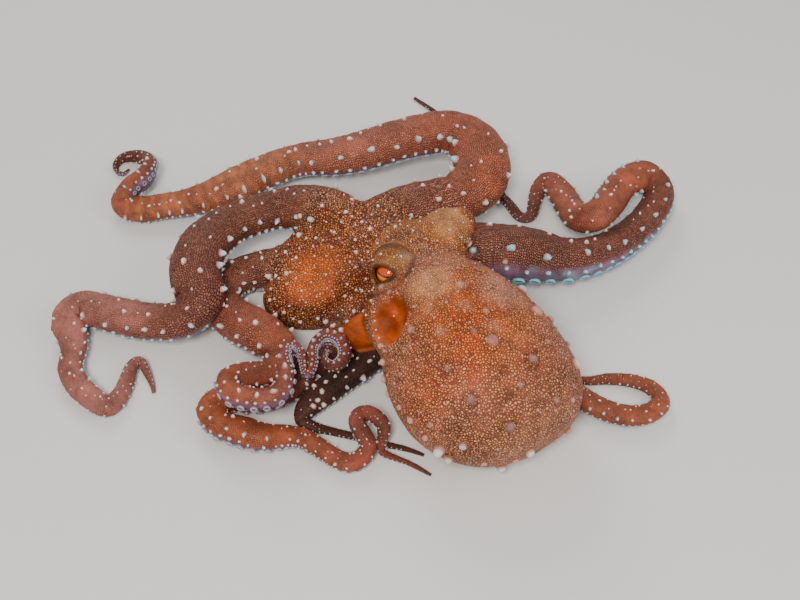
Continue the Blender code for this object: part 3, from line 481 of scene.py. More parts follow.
def add_lids(eye):
    # a shell over the ball with a lens-shaped opening and a round rim
    reach = 12
    rim_radius = 0.8
    cut, grid = window(eye["ball"] - reach, eye["ball"] + reach)
    u, v, n = along_axes(grid, eye["ball"], (eye["across"], eye["up"], eye["axis"]))
    opening = lens_distance(u, v, *eye["opening"])
    shell = np.abs(np.sqrt(u * u + v * v + n * n) - EYE_RADIUS - 0.8) - LID_THICK / 2 - 0.1
    rim = np.sqrt((opening / 1.1) ** 2 + (shell + 0.5) ** 2) - rim_radius
    distance = np.minimum(np.maximum(shell, 0.3 - opening), rim)
    melt(cut, np.where(n > -1.5, distance, EMPTY), 1.3)


add_ball(HEAD_CENTRE, HEAD_HALF, 3.0, HEAD_TURN)
for centre, half, soft_edge in ((DOME_CENTRE, DOME_HALF, 7.0), (MOUND_CENTRE, MOUND_HALF, 7.0),
                                (WEB_CENTRE, WEB_HALF, 8.0), (FOLD_CENTRE, FOLD_HALF, 6.0)):
    add_ball(centre, half, soft_edge, floor=CROWN_FLOOR)
for arm, join in ARM_JOIN.items():
    add_tube(routes[arm], 0.0, join + 5.0, 4.0)
add_mantle()
add_ball(NAPE_CENTRE, NAPE_HALF, 9.0)
add_ball(NECK_CENTRE, NECK_HALF, 7.0)
for swell in (EYE_SWELL_LEFT, EYE_SWELL_RIGHT):
    add_ball(swell, (EYE_SWELL_RADIUS,) * 3, 3.5)
siphon = walk([(x, y, z, 2 * radius, 0) for x, y, z, radius in SIPHON_ROUTE])
add_tube(siphon, 0, siphon["end"], 3.0, round_section=True)
for eye in EYES.values():
    add_lids(eye)
for eye in EYES.values():
    add_ball(eye["ball"], (EYE_RADIUS + 0.12,) * 3, 0.8, cut_out=True)
add_ball(siphon["place"][-1] - siphon["ahead"][-1] * 0.6, SIPHON_MOUTH_HALF, 1.2, cut_out=True)
add_ball(BOWL_RIM_CENTRE, BOWL_RIM_HALF, 5.0)
add_ball(BOWL_HOLLOW_CENTRE, BOWL_HALF, 5.0, cut_out=True)
add_ball(LOBE_CENTRE, LOBE_HALF, 4.6)

grid = openvdb.FloatGrid()
grid.copyFromArray(field)
core_points, core_tris, core_quads = grid.convertToPolygons(isovalue=0.0, adaptivity=0.0)
core_points = core_points.astype(float) * VOXEL + LOW
del field, grid


# Opening the core where each arm goes on by itself

def nearest_on(route, pts, start, end):
    # distance from each point to a stretch of a route, and the route's index there
    keep = np.where((route["far"] >= start) & (route["far"] <= end))[0][::2]
    best = np.full(len(pts), 1e9)
    index = np.zeros(len(pts), int)
    for i in keep:
        square = ((pts - route["place"][i]) ** 2).sum(1)
        nearer = square < best
        best[nearer] = square[nearer]
        index[nearer] = i
    return np.sqrt(best), index


def in_section(route, pts, index):
    # places across and up an arm, and the width, at each point's own index
    rel = pts - route["place"][index]
    x = (rel * route["side"][index]).sum(1)
    y = (rel * route["up"][index]).sum(1)
    return x, y, route["width"][index]


def beyond_joins():
    # whether each point of the core lies on an arm past its join
    beyond = np.zeros(len(core_points), bool)
    for arm, join in ARM_JOIN.items():
        route = routes[arm]
        distance, index = nearest_on(route, core_points, join - 12, join + 9)
        x, y, width = in_section(route, core_points, index)
        near = (section_distance(x, y, width) < 1.6) & (distance < width / 2 + 2.5)
        beyond |= near & (route["far"][index] > join)
    return beyond


def open_loops(faces):
    # loops of edges that have one face only, against that face's direction
    used = {}
    for face in faces:
        for a, b in zip(face, face[1:] + face[:1]):
            used.setdefault((min(a, b), max(a, b)), []).append((a, b))
    left = {}
    for sides in used.values():
        if len(sides) == 1:
            a, b = sides[0]
            left[b] = a
    loops = []
    while left:
        start = next(iter(left))
        loop = [start]
        current = left.pop(start)
        while current != start and current in left:
            loop.append(current)
            current = left.pop(current)
        loops.append(loop)
    return loops


# The arms as rings of points, each zipped to its opening in the core

theta = 2 * math.pi * np.arange(RING) / RING
RING_X = np.sign(np.cos(theta)) * np.abs(np.cos(theta)) ** (2 / SECTION_POWER)
RING_Y = np.sign(np.sin(theta)) * np.abs(np.sin(theta)) ** (2 / SECTION_POWER)
RING_Y = np.where(RING_Y < 0, RING_Y * SECTION_BELLY, RING_Y)
RING_ANGLE = np.unwrap(np.arctan2(RING_Y * ARM_FLAT, RING_X))


def stations_along(route, join):
    stations = [join + 0.9]
    while stations[-1] < route["end"] - 0.25:
        width = np.interp(stations[-1], route["far"], route["width"])
        stations.append(stations[-1] + max(0.32, RING_SPACING * width))
    stations[-1] = route["end"]
    return stations


def ring_at(route, far):
    # one ring around the arm, squeezed on the inner side of a tight bend so that it doesn't fold
    place, _, side, up, width = pick(route, far)
    off = side * (RING_X * width / 2)[:, None] + up * (RING_Y * width / 2 * ARM_FLAT)[:, None]
    bend = route["bend"][index_at(route, far)]
    tightness = np.linalg.norm(bend)
    if tightness > 1e-4:
        inward = bend / tightness
        reach = off @ inward
        limit = SQUEEZE_LIMIT / tightness
        free = 0.7 * limit
        rest = 0.3 * limit
        squeezed = free + rest * np.tanh(np.maximum(reach - free, 0) / rest)
        squeezed = np.where(reach > free, squeezed, reach)
        off = off + (squeezed - reach)[:, None] * inward
    ring = place + off
    ring[:, 2] = np.maximum(ring[:, 2], SKIN_FLOOR)
    return ring


def zip_faces(loop, angles, first):
    # triangles between an open loop of the core and the ring that starts at point number first
    if angles[-1] < angles[0]:
        loop = loop[::-1]
        angles = angles[::-1]
    start = int(np.argmin(np.abs(np.angle(np.exp(1j * angles)))))
    loop = loop[start:] + loop[:start]
    angles = np.r_[angles[start:], angles[:start] + 2 * math.pi]
    angles = angles - 2 * math.pi * round(angles[0] / (2 * math.pi))
    made = []
    i = j = 0
    while i < len(loop) or j < RING:
        next_loop = angles[i + 1] if i + 1 < len(loop) else angles[0] + 2 * math.pi
        next_ring = RING_ANGLE[j + 1] if j + 1 < RING else 2 * math.pi
        if j >= RING or (i < len(loop) and next_loop <= next_ring):
            made.append([loop[i % len(loop)], loop[(i + 1) % len(loop)], first + j % RING])
            i += 1
        else:
            made.append([loop[i % len(loop)], first + (j + 1) % RING, first + j % RING])
            j += 1
    return made


def ring_faces(rings, sides, first=0):
    # quads between the rings, and triangles to the point after the last ring
    made = []
    for i in range(rings - 1):
        a = first + i * sides
        for j in range(sides):
            k = (j + 1) % sides
            made.append([a + j, a + k, a + sides + k, a + sides + j])
    last = first + (rings - 1) * sides
    for j in range(sides):
        made.append([last + j, last + (j + 1) % sides, last + sides])
    return made


faces = [list(map(int, q)) for q in core_quads] + [list(map(int, q)) for q in core_tris]
removed = beyond_joins()
faces = [face for face in faces if not any(removed[i] for i in face)]
loops = open_loops(faces)
arm_names = list(ARM_ROUTES)
arm_points = []
point_arm = [np.full(len(core_points), -1)]
point_far = [np.zeros(len(core_points))]
seams = []
total = len(core_points)
for arm, join in ARM_JOIN.items():
    route = routes[arm]
    centre, ahead, side, up, width = pick(route, join)
    loop = min(loops, key=lambda ids: np.linalg.norm(core_points[ids].mean(0) - centre) + 200 / len(ids))
    miss = np.linalg.norm(core_points[loop].mean(0) - centre)
    print("join", arm, len(loop), "off by", round(float(miss), 2))
    core_points[loop] -= ((core_points[loop] - centre) @ ahead)[:, None] * ahead * 0.9
    stations = stations_along(route, join)
    end_place, end_ahead = pick(route, route["end"])[:2]
    arm_points.append(np.concatenate([ring_at(route, far) for far in stations]))
    arm_points.append((end_place + end_ahead * 0.25)[None])
    added = len(stations) * RING + 1
    point_arm.append(np.full(added, arm_names.index(arm)))
    point_far.append(np.r_[np.repeat(stations, RING), route["end"]])
    faces += ring_faces(len(stations), RING, total)
    rel = core_points[loop] - centre
    faces += zip_faces(loop, np.unwrap(np.arctan2(rel @ up, rel @ side)), total)
    seams.append((centre, ahead, float(width)))
    total += added
points = np.vstack([core_points] + arm_points)
point_arm = np.concatenate(point_arm)
point_far = np.concatenate(point_far)


# One closed skin of the core and the arms

def connected(bm):
    # groups of joined points, the largest first
    groups = []
    seen = set()
    for v in bm.verts:
        if v in seen:
            continue
        group = [v]
        seen.add(v)
        for member in group:
            for edge in member.link_edges:
                other = edge.other_vert(member)
                if other not in seen:
                    seen.add(other)
                    group.append(other)
        groups.append(group)
    return sorted(groups, key=len, reverse=True)


def open_count(bm):
    return sum(1 for e in bm.edges if len(e.link_faces) != 2)


bm = bmesh.new()
layer_arm = bm.verts.layers.int.new("arm")
layer_far = bm.verts.layers.float.new("far")
made = []
for i, p in enumerate(points):
    v = bm.verts.new(p)
    v[layer_arm] = int(point_arm[i])
    v[layer_far] = float(point_far[i])
    made.append(v)
for face in faces:
    try:
        bm.faces.new([made[i] for i in face])
    except ValueError:
        pass
bmesh.ops.delete(bm, geom=[v for v in bm.verts if not v.link_faces], context="VERTS")
bmesh.ops.recalc_face_normals(bm, faces=bm.faces)
bmesh.ops.holes_fill(bm, edges=[e for e in bm.edges if len(e.link_faces) < 2], sides=60)
specks = connected(bm)[1:]
for group in specks:
    bmesh.ops.delete(bm, geom=group, context="VERTS")
bmesh.ops.triangulate(bm, faces=[face for face in bm.faces if len(face.verts) > 4])
bmesh.ops.recalc_face_normals(bm, faces=bm.faces)
print("specks dropped", len(specks), "open edges", open_count(bm))
skin_mesh = bpy.data.meshes.new("octopus_skin")
bm.to_mesh(skin_mesh)
bm.free()


def values_of(data, key, count=1, kind=float):
    out = np.empty(len(data) * count, kind)
    data.foreach_get(key, out)
    return out.reshape(-1, count) if count > 1 else out


def put(mesh, pts):
    mesh.vertices.foreach_set("co", np.ascontiguousarray(pts, np.float32).ravel())
    mesh.update()


pts = values_of(skin_mesh.vertices, "co", 3)
arm_of = values_of(skin_mesh.attributes["arm"].data, "value", kind=np.int32)
far_of = values_of(skin_mesh.attributes["far"].data, "value", kind=np.float32)
edges = values_of(skin_mesh.edges, "vertices", 2, np.int32)
core = arm_of < 0


def ease(pts, strength, rounds):
    # each point moves towards the mean of its neighbours
    a, b = edges[:, 0], edges[:, 1]
    degree = np.bincount(edges.ravel(), minlength=len(pts))[:, None].astype(float)
    for _ in range(rounds):
        total = np.zeros_like(pts)
        for k in range(3):
            total[:, k] = np.bincount(a, pts[b, k], len(pts)) + np.bincount(b, pts[a, k], len(pts))
        pts = pts + (total / np.maximum(degree, 1) - pts) * strength[:, None]
    return pts


strength = np.zeros(len(pts))
for centre, ahead, width in seams:
    rel = pts - centre
    close = np.linalg.norm(rel, axis=1) < width * 0.8 + 2
    strength = np.maximum(strength, 0.6 * np.clip(1.5 - np.abs(rel @ ahead) / 3.0, 0, 1) * close)
pts = ease(pts, strength, SEAM_ROUNDS)
pts = ease(pts, np.where(core, 0.25, 0.0), 2)
pts[:, 2] = np.maximum(pts[:, 2], SKIN_FLOOR)
put(skin_mesh, pts)


# Where each point lies: along, across and up its own or its nearest arm

across_arm = np.zeros(len(pts))
up_arm = np.zeros(len(pts))
arm_share = (~core).astype(float)
wide_of = np.full(len(pts), 16.0)
far_all = far_of.astype(float).copy()
arm_all = arm_of.copy()
for k, arm in enumerate(arm_names):
    route = routes[arm]
    own = np.where(arm_of == k)[0]
    index = np.clip((far_of[own] / ROUTE_STEP).round().astype(int), 0, len(route["far"]) - 1)
    x, y, width = in_section(route, pts[own], index)
    across_arm[own] = x / (width / 2)
    up_arm[own] = y / (width / 2 * ARM_FLAT)
    wide_of[own] = width
closest = np.full(len(pts), 1e9)
for k, arm in enumerate(arm_names):
    route = routes[arm]
    third = route["place"][int(ARM_JOIN[arm] / THIRD_INDEX)]
    near = np.where(core & (np.abs(pts - third).max(1) < 48))[0]
    _, index = nearest_on(route, pts[near], 0, ARM_JOIN[arm] + 4)
    x, y, width = in_section(route, pts[near], index)
    off = section_distance(x, y, width)
    share = np.clip(1 - np.maximum(off, 0) / 4.0, 0, 1) * np.clip((route["far"][index] - 8) / 22, 0, 1)
    better = off < closest[near]
    m = near[better]
    closest[m] = off[better]
    across_arm[m] = (x / (width / 2))[better]
    up_arm[m] = (y / (width / 2 * ARM_FLAT))[better]
    arm_share[m] = share[better]
    wide_of[m] = width[better]
    far_all[m] = route["far"][index][better]
    arm_all[m] = k


# Shares of the core: mantle, head, siphon, bowl

def soft(x, a, b):
    t = np.clip((x - a) / (b - a), 0, 1)
    return t * t * (3 - 2 * t)


def by_ball(centre, half, turn=0.0):
    return ball_distance([pts[:, 0], pts[:, 1], pts[:, 2]], centre, half, turn)


back, across, upward = mantle_axes()
rel = pts - np.array(MANTLE_CENTRE)
mantle_back = rel @ back / MANTLE_HALF_LENGTH
mantle_side = (rel @ across - MANTLE_BEND * mantle_back ** 2) / MANTLE_HALF_WIDTH
mantle_up = rel @ upward / MANTLE_HALF_HEIGHT
mantle_out = np.sqrt(mantle_back ** 2 + mantle_side ** 2 + mantle_up ** 2)
in_mantle = soft(mantle_out, 1.22, 1.02) * (1 - arm_share) * core
in_head = soft(by_ball(HEAD_CENTRE, HEAD_HALF, HEAD_TURN), 5.0, 0.5) * core * (1 - in_mantle)
for swell in (EYE_SWELL_LEFT, EYE_SWELL_RIGHT):
    in_head = np.maximum(in_head, soft(by_ball(swell, (EYE_SWELL_RADIUS,) * 3), 3.0, 0.5) * core)
siphon_distance, siphon_index = nearest_on(siphon, pts, 0, siphon["end"])
in_siphon = soft(siphon_distance - siphon["width"][siphon_index] / 2, 2.6, 0.6) * core
in_bowl = soft(by_ball(BOWL_CENTRE, BOWL_HALF), 2.6, 0.6) * core
in_lobe = soft(by_ball(LOBE_CENTRE, LOBE_HALF), 1.2, -0.6) * core


# The view, to set marks where the photograph shows them

PIXELS_PER_SLOPE = VIEW_LENS / VIEW_SENSOR * PHOTO_WIDTH
tilt = math.radians(VIEW_ELEVATION)
view_ahead = np.array([0, math.cos(tilt), -math.sin(tilt)])
view_up = np.array([0, math.sin(tilt), math.cos(tilt)])
view_from = np.array(VIEW_AIM) - view_ahead * VIEW_DISTANCE
skin_mesh.calc_loop_triangles()
triangles = values_of(skin_mesh.loop_triangles, "vertices", 3, np.int32).tolist()


def tree_of(places):
    return BVHTree.FromPolygons([Vector(p) for p in places], triangles, all_triangles=True)


plain_tree = tree_of(pts)


def mark(col, row):
    # the place on the skin, and its normal, seen at a pixel or else nearest to its line of sight
    right = (col - PHOTO_WIDTH / 2) / PIXELS_PER_SLOPE
    rise = (PHOTO_HEIGHT / 2 - row) / PIXELS_PER_SLOPE
    line = unit(view_ahead + np.array([right, 0, 0]) + view_up * rise)
    hit, normal, _, _ = plain_tree.ray_cast(Vector(view_from), Vector(line))
    if hit is not None and hit.z > 0.5:
        return np.array(hit), np.array(normal)
    tries = (plain_tree.find_nearest(Vector(view_from + line * far)) for far in np.arange(430, 720, 2.0))
    hit, normal, _, _ = min(tries, key=lambda found: found[3])
    return np.array(hit), np.array(normal)


# Colour of the skin, in broad areas

def rgb(r, g, b):
    c = np.array([r, g, b]) / 255.0
    return np.where(c <= 0.04045, c / 12.92, ((c + 0.055) / 1.055) ** 2.4)


def cloud(scale, seed):
    off = Vector((seed * 13.1, seed * 7.7, seed * 3.3))
    return np.array([noise.noise(Vector(p) * scale + off) for p in pts])


def on(*names):
    # whether the own or nearest arm of each point is one of these
    return np.isin(arm_all, [arm_names.index(name) for name in names])


base_normals = values_of(skin_mesh.vertices, "normal", 3)
slow = cloud(1 / 17.0, 1)
mid = cloud(1 / 6.0, 2)
fine = cloud(1 / 2.4, 3)
tint = np.zeros((len(pts), 3))
arm_dots = np.ones(len(pts))


def paint(share, *colour):
    # lay a colour, in numbers up to 255, over the tint by a share of 0 to 1
    share = np.clip(share, 0, 1)[:, None]
    tint[:] = tint * (1 - share) + rgb(*colour) * share


BELLY = (128, 98, 130)
BELLY_SHADE_CYAN = (120, 170, 190)
CROWN = (106, 32, 16)
ARM_BAND = (214, 124, 64)
MANTLE_HOT = (180, 62, 0)
MANTLE_RIM = (168, 105, 82)
HEAD_SOFT = (184, 106, 48)
HEAD_PALE = (200, 142, 92)
EYE_SURROUND = (122, 80, 38)
EYE_GROOVE_SHADE = (56, 32, 14)
LID_RIM = (70, 30, 12)
SIPHON = (178, 76, 3)
LOBE = (138, 56, 2)
WART_COLLAR = (74, 30, 14)
WART_GREY = (138, 104, 108)
WART_PALE = (206, 176, 160)

# Flesh along each arm: distance in mm, red, green, blue, share of fine dots. The dark stops near the crown
# are flesh colour darkened with painted shade, and the dark colour of left_4 is painted shade.
ARM_FLESH = {
    "left_1": [(40, 78, 28, 20, 0.94), (95, 80, 34, 30, 0.87), (125, 92, 42, 40, 0.75),
               (140, 128, 72, 66, 0.9), (158, 186, 124, 114, 1), (205, 210, 142, 132, 1),
               (300, 222, 152, 142, 1)],
    "left_2": [(30, 66, 24, 20, 0.94), (60, 108, 44, 28, 0.87), (95, 130, 56, 32, 0.74),
               (150, 146, 68, 36, 0.49), (195, 126, 60, 50, 0.49), (290, 110, 52, 50, 0.49)],
    "left_3": [(30, 66, 26, 22, 0.74), (84, 112, 48, 30, 0.58), (110, 162, 74, 28, 0.49),
               (150, 158, 72, 32, 0.49), (200, 136, 62, 44, 0.49), (259, 104, 46, 40, 0.58)],
    "left_4": [(0, 46, 18, 14, 0.25), (60, 38, 17, 17, 0.25), (82, 66, 34, 32, 0.49),
               (138, 84, 42, 38, 0.58)],
    "right_1": [(30, 74, 27, 22, 1), (60, 120, 46, 20, 1), (110, 132, 52, 20, 1), (150, 142, 66, 44, 1),
                (190, 150, 78, 52, 1), (225, 160, 84, 44, 0.8), (290, 148, 72, 36, 0.6),
                (320, 110, 42, 34, 0.49), (376, 86, 30, 30, 0.49)],
    "right_2": [(30, 76, 28, 22, 1), (110, 84, 33, 28, 0.87), (160, 104, 44, 30, 0.74),
                (190, 182, 88, 52, 0.7), (285, 174, 88, 58, 0.7), (310, 124, 62, 52, 0.6),
                (424, 90, 40, 34, 0.58)],
    "right_3": [(60, 112, 52, 38, 0.66), (140, 158, 76, 40, 0.58), (201, 126, 60, 40, 0.66)],
    "right_4": [(0, 84, 34, 28, 0.74), (60, 84, 34, 28, 0.74)],
}
# A factor for the flesh of an arm and one for its dots: below 1 they are painted shade, darkening an arm
# that lies in shade and thinning its dots; above 1 the flesh is lighter
ARM_SHADE_AND_TONE = {"left_1": (0.56, 0.8), "right_2": (0.68, 0.75), "left_4": (0.5, 0.6), "right_1": (1.05, 1.0),
            "right_3": (1.2, 1.0), "left_2": (1.1, 1.0)}
# Colour shifts of the arm flesh; the second goes with the painted shade of the arms darkened below 0.6
ARM_BLUSH = np.array([1.06, 1.08, 1.45])
ARM_SHADE_BLUSH = np.array([1.12, 0.9, 0.98])


def colour_arms():
    for arm, stops in ARM_FLESH.items():
        m = on(arm)
        places = [stop[0] for stop in stops]
        for k in range(3):
            tint[m, k] = np.interp(far_all[m], places, [rgb(*stop[1:4])[k] for stop in stops])
        # scale each arm's flesh and dots by its factors: below 1 painted shade, above 1 lighter flesh
        flesh_shade_and_tone, dot_shade_and_tone = ARM_SHADE_AND_TONE.get(arm, (1.0, 1.0))
        tint[m] *= flesh_shade_and_tone * (ARM_SHADE_BLUSH if flesh_shade_and_tone < 0.6 else ARM_BLUSH)
        arm_dots[m] = np.interp(far_all[m], places, [stop[4] for stop in stops]) * dot_shade_and_tone
    # a painted highlight: the upper side of each arm is lighter than its underside, varied by the slow cloud
    tint[:] *= (0.78 + soft(up_arm, -0.2, 0.9) * (0.16 + 0.4 * slow))[:, None]
    banded = on("right_1") * soft(far_all, 186, 214) * soft(far_all, 312, 290)
    bands = soft(np.sin(2 * math.pi * far_all / 6.4 + 3.0 * mid), -0.2, 0.9) * banded
    paint(bands * 0.45 * arm_share, *ARM_BAND)


# Patches of colour: column, row, radius in mm, share, colour
PATCHES = [
    (308, 278, 17, 0.95, (232, 98, 0)), (330, 262, 13, 0.4, (176, 76, 10)),
    (325, 262, 11, 0.6, (214, 88, 0)), (322, 292, 9, 0.6, (212, 86, 0)),
    (390, 300, 8, 0.8, (196, 88, 8)), (396, 286, 8, 0.5, (184, 86, 16)), (372, 312, 6, 0.6, (206, 80, 4)),
    (400, 235, 10, 0.8, (72, 38, 30)), (420, 245, 8, 0.6, (100, 52, 34)),
    (385, 212, 14, 0.7, (88, 46, 42)), (355, 205, 12, 0.6, (84, 40, 36)),
    (425, 215, 10, 0.5, (104, 56, 44)), (300, 222, 14, 0.6, (90, 34, 22)),
    (440, 300, 16, 0.5, (196, 104, 44)), (420, 400, 20, 0.6, (190, 74, 2)),
    (455, 375, 20, 0.4, (176, 60, 0)), (470, 455, 18, 0.75, (98, 46, 24)),
    (560, 380, 14, 0.4, (152, 78, 50)), (500, 290, 17, 0.7, (196, 140, 126)),
    (505, 335, 13, 0.35, (200, 124, 84)),
    (430, 284, 15, 0.8, (234, 160, 112)), (452, 262, 9, 0.5, (206, 138, 100)),
    (355, 300, 8, 0.5, (140, 62, 18)), (305, 318, 12, 0.75, (84, 38, 18)), (275, 290, 8, 0.6, (92, 34, 18)),
    (428, 309, 3, 0.55, (206, 150, 128)), (411, 328, 3, 0.6, (204, 150, 134)),
    (441, 331, 4, 0.5, (206, 146, 124)), (461, 285, 4, 0.6, (206, 156, 140)),
    (423, 246, 3, 0.6, (206, 150, 140)), (449, 267, 3, 0.5, (204, 150, 130)),
    (465, 305, 5, 0.4, (206, 156, 134)), (490, 325, 6, 0.35, (202, 140, 112)),
    (405, 256, 5, 0.6, (158, 122, 100)), (387, 254, 4, 0.8, (146, 70, 14)),
    (401, 275, 3.5, 0.6, (150, 84, 26)), (374, 281, 2.4, 0.7, (188, 146, 126)),
    (381, 287, 2.4, 0.7, (190, 146, 126)), (389, 291, 2.2, 0.6, (176, 134, 112)),
    (409, 345, 3, 0.5, (196, 146, 130)),
]

colour_arms()
paint((1 - arm_share) * 0.95, *CROWN)
low_side = 0.3 * on("right_2") * soft(far_all, 165, 130)
low_side += 0.2 * on("left_1") * soft(far_all, 110, 130) * soft(far_all, 215, 185)
belly = soft(up_arm - low_side, -0.25, -0.72) * arm_share
paint(belly * 0.9, *BELLY)
# blue-green patches on the undersides of right_2 and left_1 are a painted tint of shade
paint(belly * on("right_2", "left_1") * soft(mid, -0.1, 0.5) * 0.7, *BELLY_SHADE_CYAN)
paint(in_mantle, *MANTLE_RIM)
hot = np.sqrt((mantle_back + 0.12) ** 2 + mantle_side ** 2 * 0.9 + (mantle_up - 0.75) ** 2 * 0.35)
hot = soft(hot, 1.1, 0.15)
paint(in_mantle * hot * (0.95 + 0.5 * slow), *MANTLE_HOT)
paint(in_head * 0.85, *HEAD_SOFT)
head_top = soft(np.linalg.norm(pts - (np.array(EYE_SWELL_RIGHT) + (0, 0, 8)), axis=1), 13, 4)
paint(in_head * head_top * 0.85, *HEAD_PALE)
paint(in_siphon, *SIPHON)
near_eye = np.linalg.norm(pts - (EYES["left"]["ball"] + EYES["left"]["axis"] * 3.0), axis=1)
paint(soft(near_eye, 16, 10) * 0.8, *EYE_SURROUND)
# a dark ring of painted shade in the groove round the left eye's dome
paint(soft(near_eye, 16.5, 14.5) * soft(near_eye, 10.5, 13.5) * 0.8, *EYE_GROOVE_SHADE)
for col, row, radius, share, colour in PATCHES:
    distance = np.linalg.norm(pts - mark(col, row)[0], axis=1)
    paint(soft(distance, radius, radius * 0.25) * share, *colour)
paint(in_bowl, *SIPHON)
paint(in_lobe * 0.6, *LOBE)
tint *= (1 + 0.26 * slow + 0.14 * mid)[:, None]
tint = np.clip(tint, 0.004, 1)

dots = np.clip(1 - in_siphon - in_bowl - 0.75 * belly, 0, 1)
dots *= 1 - arm_share * (1 - arm_dots)
for eye in EYES.values():
    rel = pts - eye["ball"]
    off = lens_distance(rel @ eye["across"], rel @ eye["up"], *eye["opening"])
    facing = (rel @ eye["axis"] > 0) * (np.linalg.norm(rel, axis=1) < EYE_RADIUS + 4)
    on_rim = soft(off, 1.2, 0.2) * facing
    dots *= 1 - on_rim
    paint(on_rim * 0.85, *LID_RIM)
dots *= 1 - 0.45 * in_head * head_top
# fewer granules on the ring of painted groove shade round the left eye, and near the eye
dots *= 1 - 0.75 * soft(near_eye, 17, 14.5) * soft(near_eye, 9.5, 13) - 0.45 * soft(near_eye, 11, 8)
rosy = 0.9 * arm_share + in_mantle * (0.1 + 0.85 * (1 - hot)) + 0.3 * in_head
rosy = np.clip(rosy + 0.15 + 0.3 * core * (1 - in_mantle) + 0.5 * slow, 0, 1)


# Relief: slow swells, fine grain, rings of slack skin on the arms, and warts

# Warts: column, row, radius, height, 1 where the tip is pale and 0 where the mound is purple grey
WARTS = [
    (492, 341, 2.8, 1.7, 0.1), (533, 359, 2.3, 1.3, 0.1), (471, 400, 2.2, 1.2, 0.0),
    (510, 427, 2.3, 1.4, 0.0), (447, 368, 1.6, 0.8, 0.5), (460, 284, 1.6, 0.7, 0.8),
    (486, 311, 1.5, 0.8, 0.8), (467, 241, 1.6, 1.3, 0.8), (474, 331, 1.5, 0.8, 0.6),
    (556, 400, 1.6, 1.0, 0.5), (411, 330, 1.8, 0.8, 0.9), (435, 264, 1.5, 0.7, 0.7),
    (548, 342, 1.5, 0.9, 0.7), (520, 385, 1.5, 0.8, 0.5), (400, 375, 1.3, 0.8, 0.6),
    (430, 425, 1.4, 0.9, 0.6), (374, 281, 1.4, 0.9, 0.7), (381, 287, 1.3, 0.8, 0.7),
    (389, 292, 1.2, 0.7, 0.6),
]

lift = 0.35 * slow * (1 - arm_share) + 0.22 * mid + 0.06 * fine
rings = np.sin(far_all / np.maximum(wide_of * 0.07, 0.4) + 3.0 * mid) * soft(up_arm, -0.6, 0.2)
lift += arm_share * 0.006 * wide_of * rings
lift *= np.clip(dots + 0.25, 0, 1)
wart_pale = np.zeros(len(pts))
wart_grey = np.zeros(len(pts))
for col, row, radius, high, pale in WARTS:
    place, normal = mark(col, row)
    distance = np.linalg.norm(pts - place, axis=1)
    facing = (base_normals @ normal) > 0
    form = soft(distance, radius * 1.35, radius * 0.35) * facing
    collar = soft(distance, radius * 2.1, radius * 1.4) * facing * (1 - form) * (1 - pale)
    paint(collar * 0.6, *WART_COLLAR)
    lift += high * form
    wart_pale = np.maximum(wart_pale, form * pale)
    wart_grey = np.maximum(wart_grey, form * (1 - pale))
paint(wart_grey * 0.9, *WART_GREY)
dots *= 1 - np.maximum(wart_pale, wart_grey) * 0.95
paint(wart_pale * 0.75, *WART_PALE)

BOX_LOW, BOX_HIGH = np.array(cad_box) / MM
lifted = np.clip(pts + base_normals * lift[:, None], BOX_LOW + SKIN_FLOOR, BOX_HIGH - SKIN_FLOOR)
put(skin_mesh, lifted)
lifted_tree = tree_of(lifted)


def store(mesh, name, values):
    values = np.asarray(values, np.float32)
    if values.ndim == 2:
        layer = mesh.attributes.new(name, "FLOAT_COLOR", "POINT")
        layer.data.foreach_set("color", np.c_[values, np.ones(len(values))].astype(np.float32).ravel())
    else:
        layer = mesh.attributes.new(name, "FLOAT", "POINT")
        layer.data.foreach_set("value", values)


# Granules lie in rows across each arm: row number along it, place across it
row_of = np.zeros(len(pts))
for arm in arm_names:
    route = routes[arm]
    rows = np.cumsum(ROUTE_STEP / np.clip(route["width"] * GRANULE_SHARE, *GRANULE_LIMITS))
    row_of[on(arm)] = np.interp(far_all[on(arm)], route["far"], rows)
around = np.arctan2(across_arm, up_arm * ARM_FLAT)
across_of = around * wide_of * 0.44 / np.clip(wide_of * GRANULE_SHARE, *GRANULE_LIMITS)
store(skin_mesh, "row", row_of)
store(skin_mesh, "across", across_of * 0.72)
store(skin_mesh, "arm_share", soft(arm_share, 0.5, 1.0))
store(skin_mesh, "tint", tint)
store(skin_mesh, "dots", dots)
store(skin_mesh, "rosy", rosy)


# Suckers, raised white pads and knobs, each kind gathered in one mesh

class Pile:
    def __init__(self):
        self.points = []
        self.faces = []
        self.shade = []
        self.shade_cyan = []
        self.count = 0

    def add(self, points, faces, shade, shade_cyan):
        self.points.append(np.asarray(points))
        self.faces.extend([[i + self.count for i in face] for face in faces])
        self.shade.append(np.asarray(shade, float))
        self.shade_cyan.append(np.full(len(points), shade_cyan))
        self.count += len(points)

    def mesh(self, name):
        mesh = bpy.data.meshes.new(name)
        points = np.clip(np.vstack(self.points), BOX_LOW + PAD_MARGIN, BOX_HIGH - PAD_MARGIN)
        mesh.from_pydata(points.tolist(), [], self.faces)
        store(mesh, "shade", np.concatenate(self.shade))
        store(mesh, "shade_cyan", np.concatenate(self.shade_cyan))
        return mesh


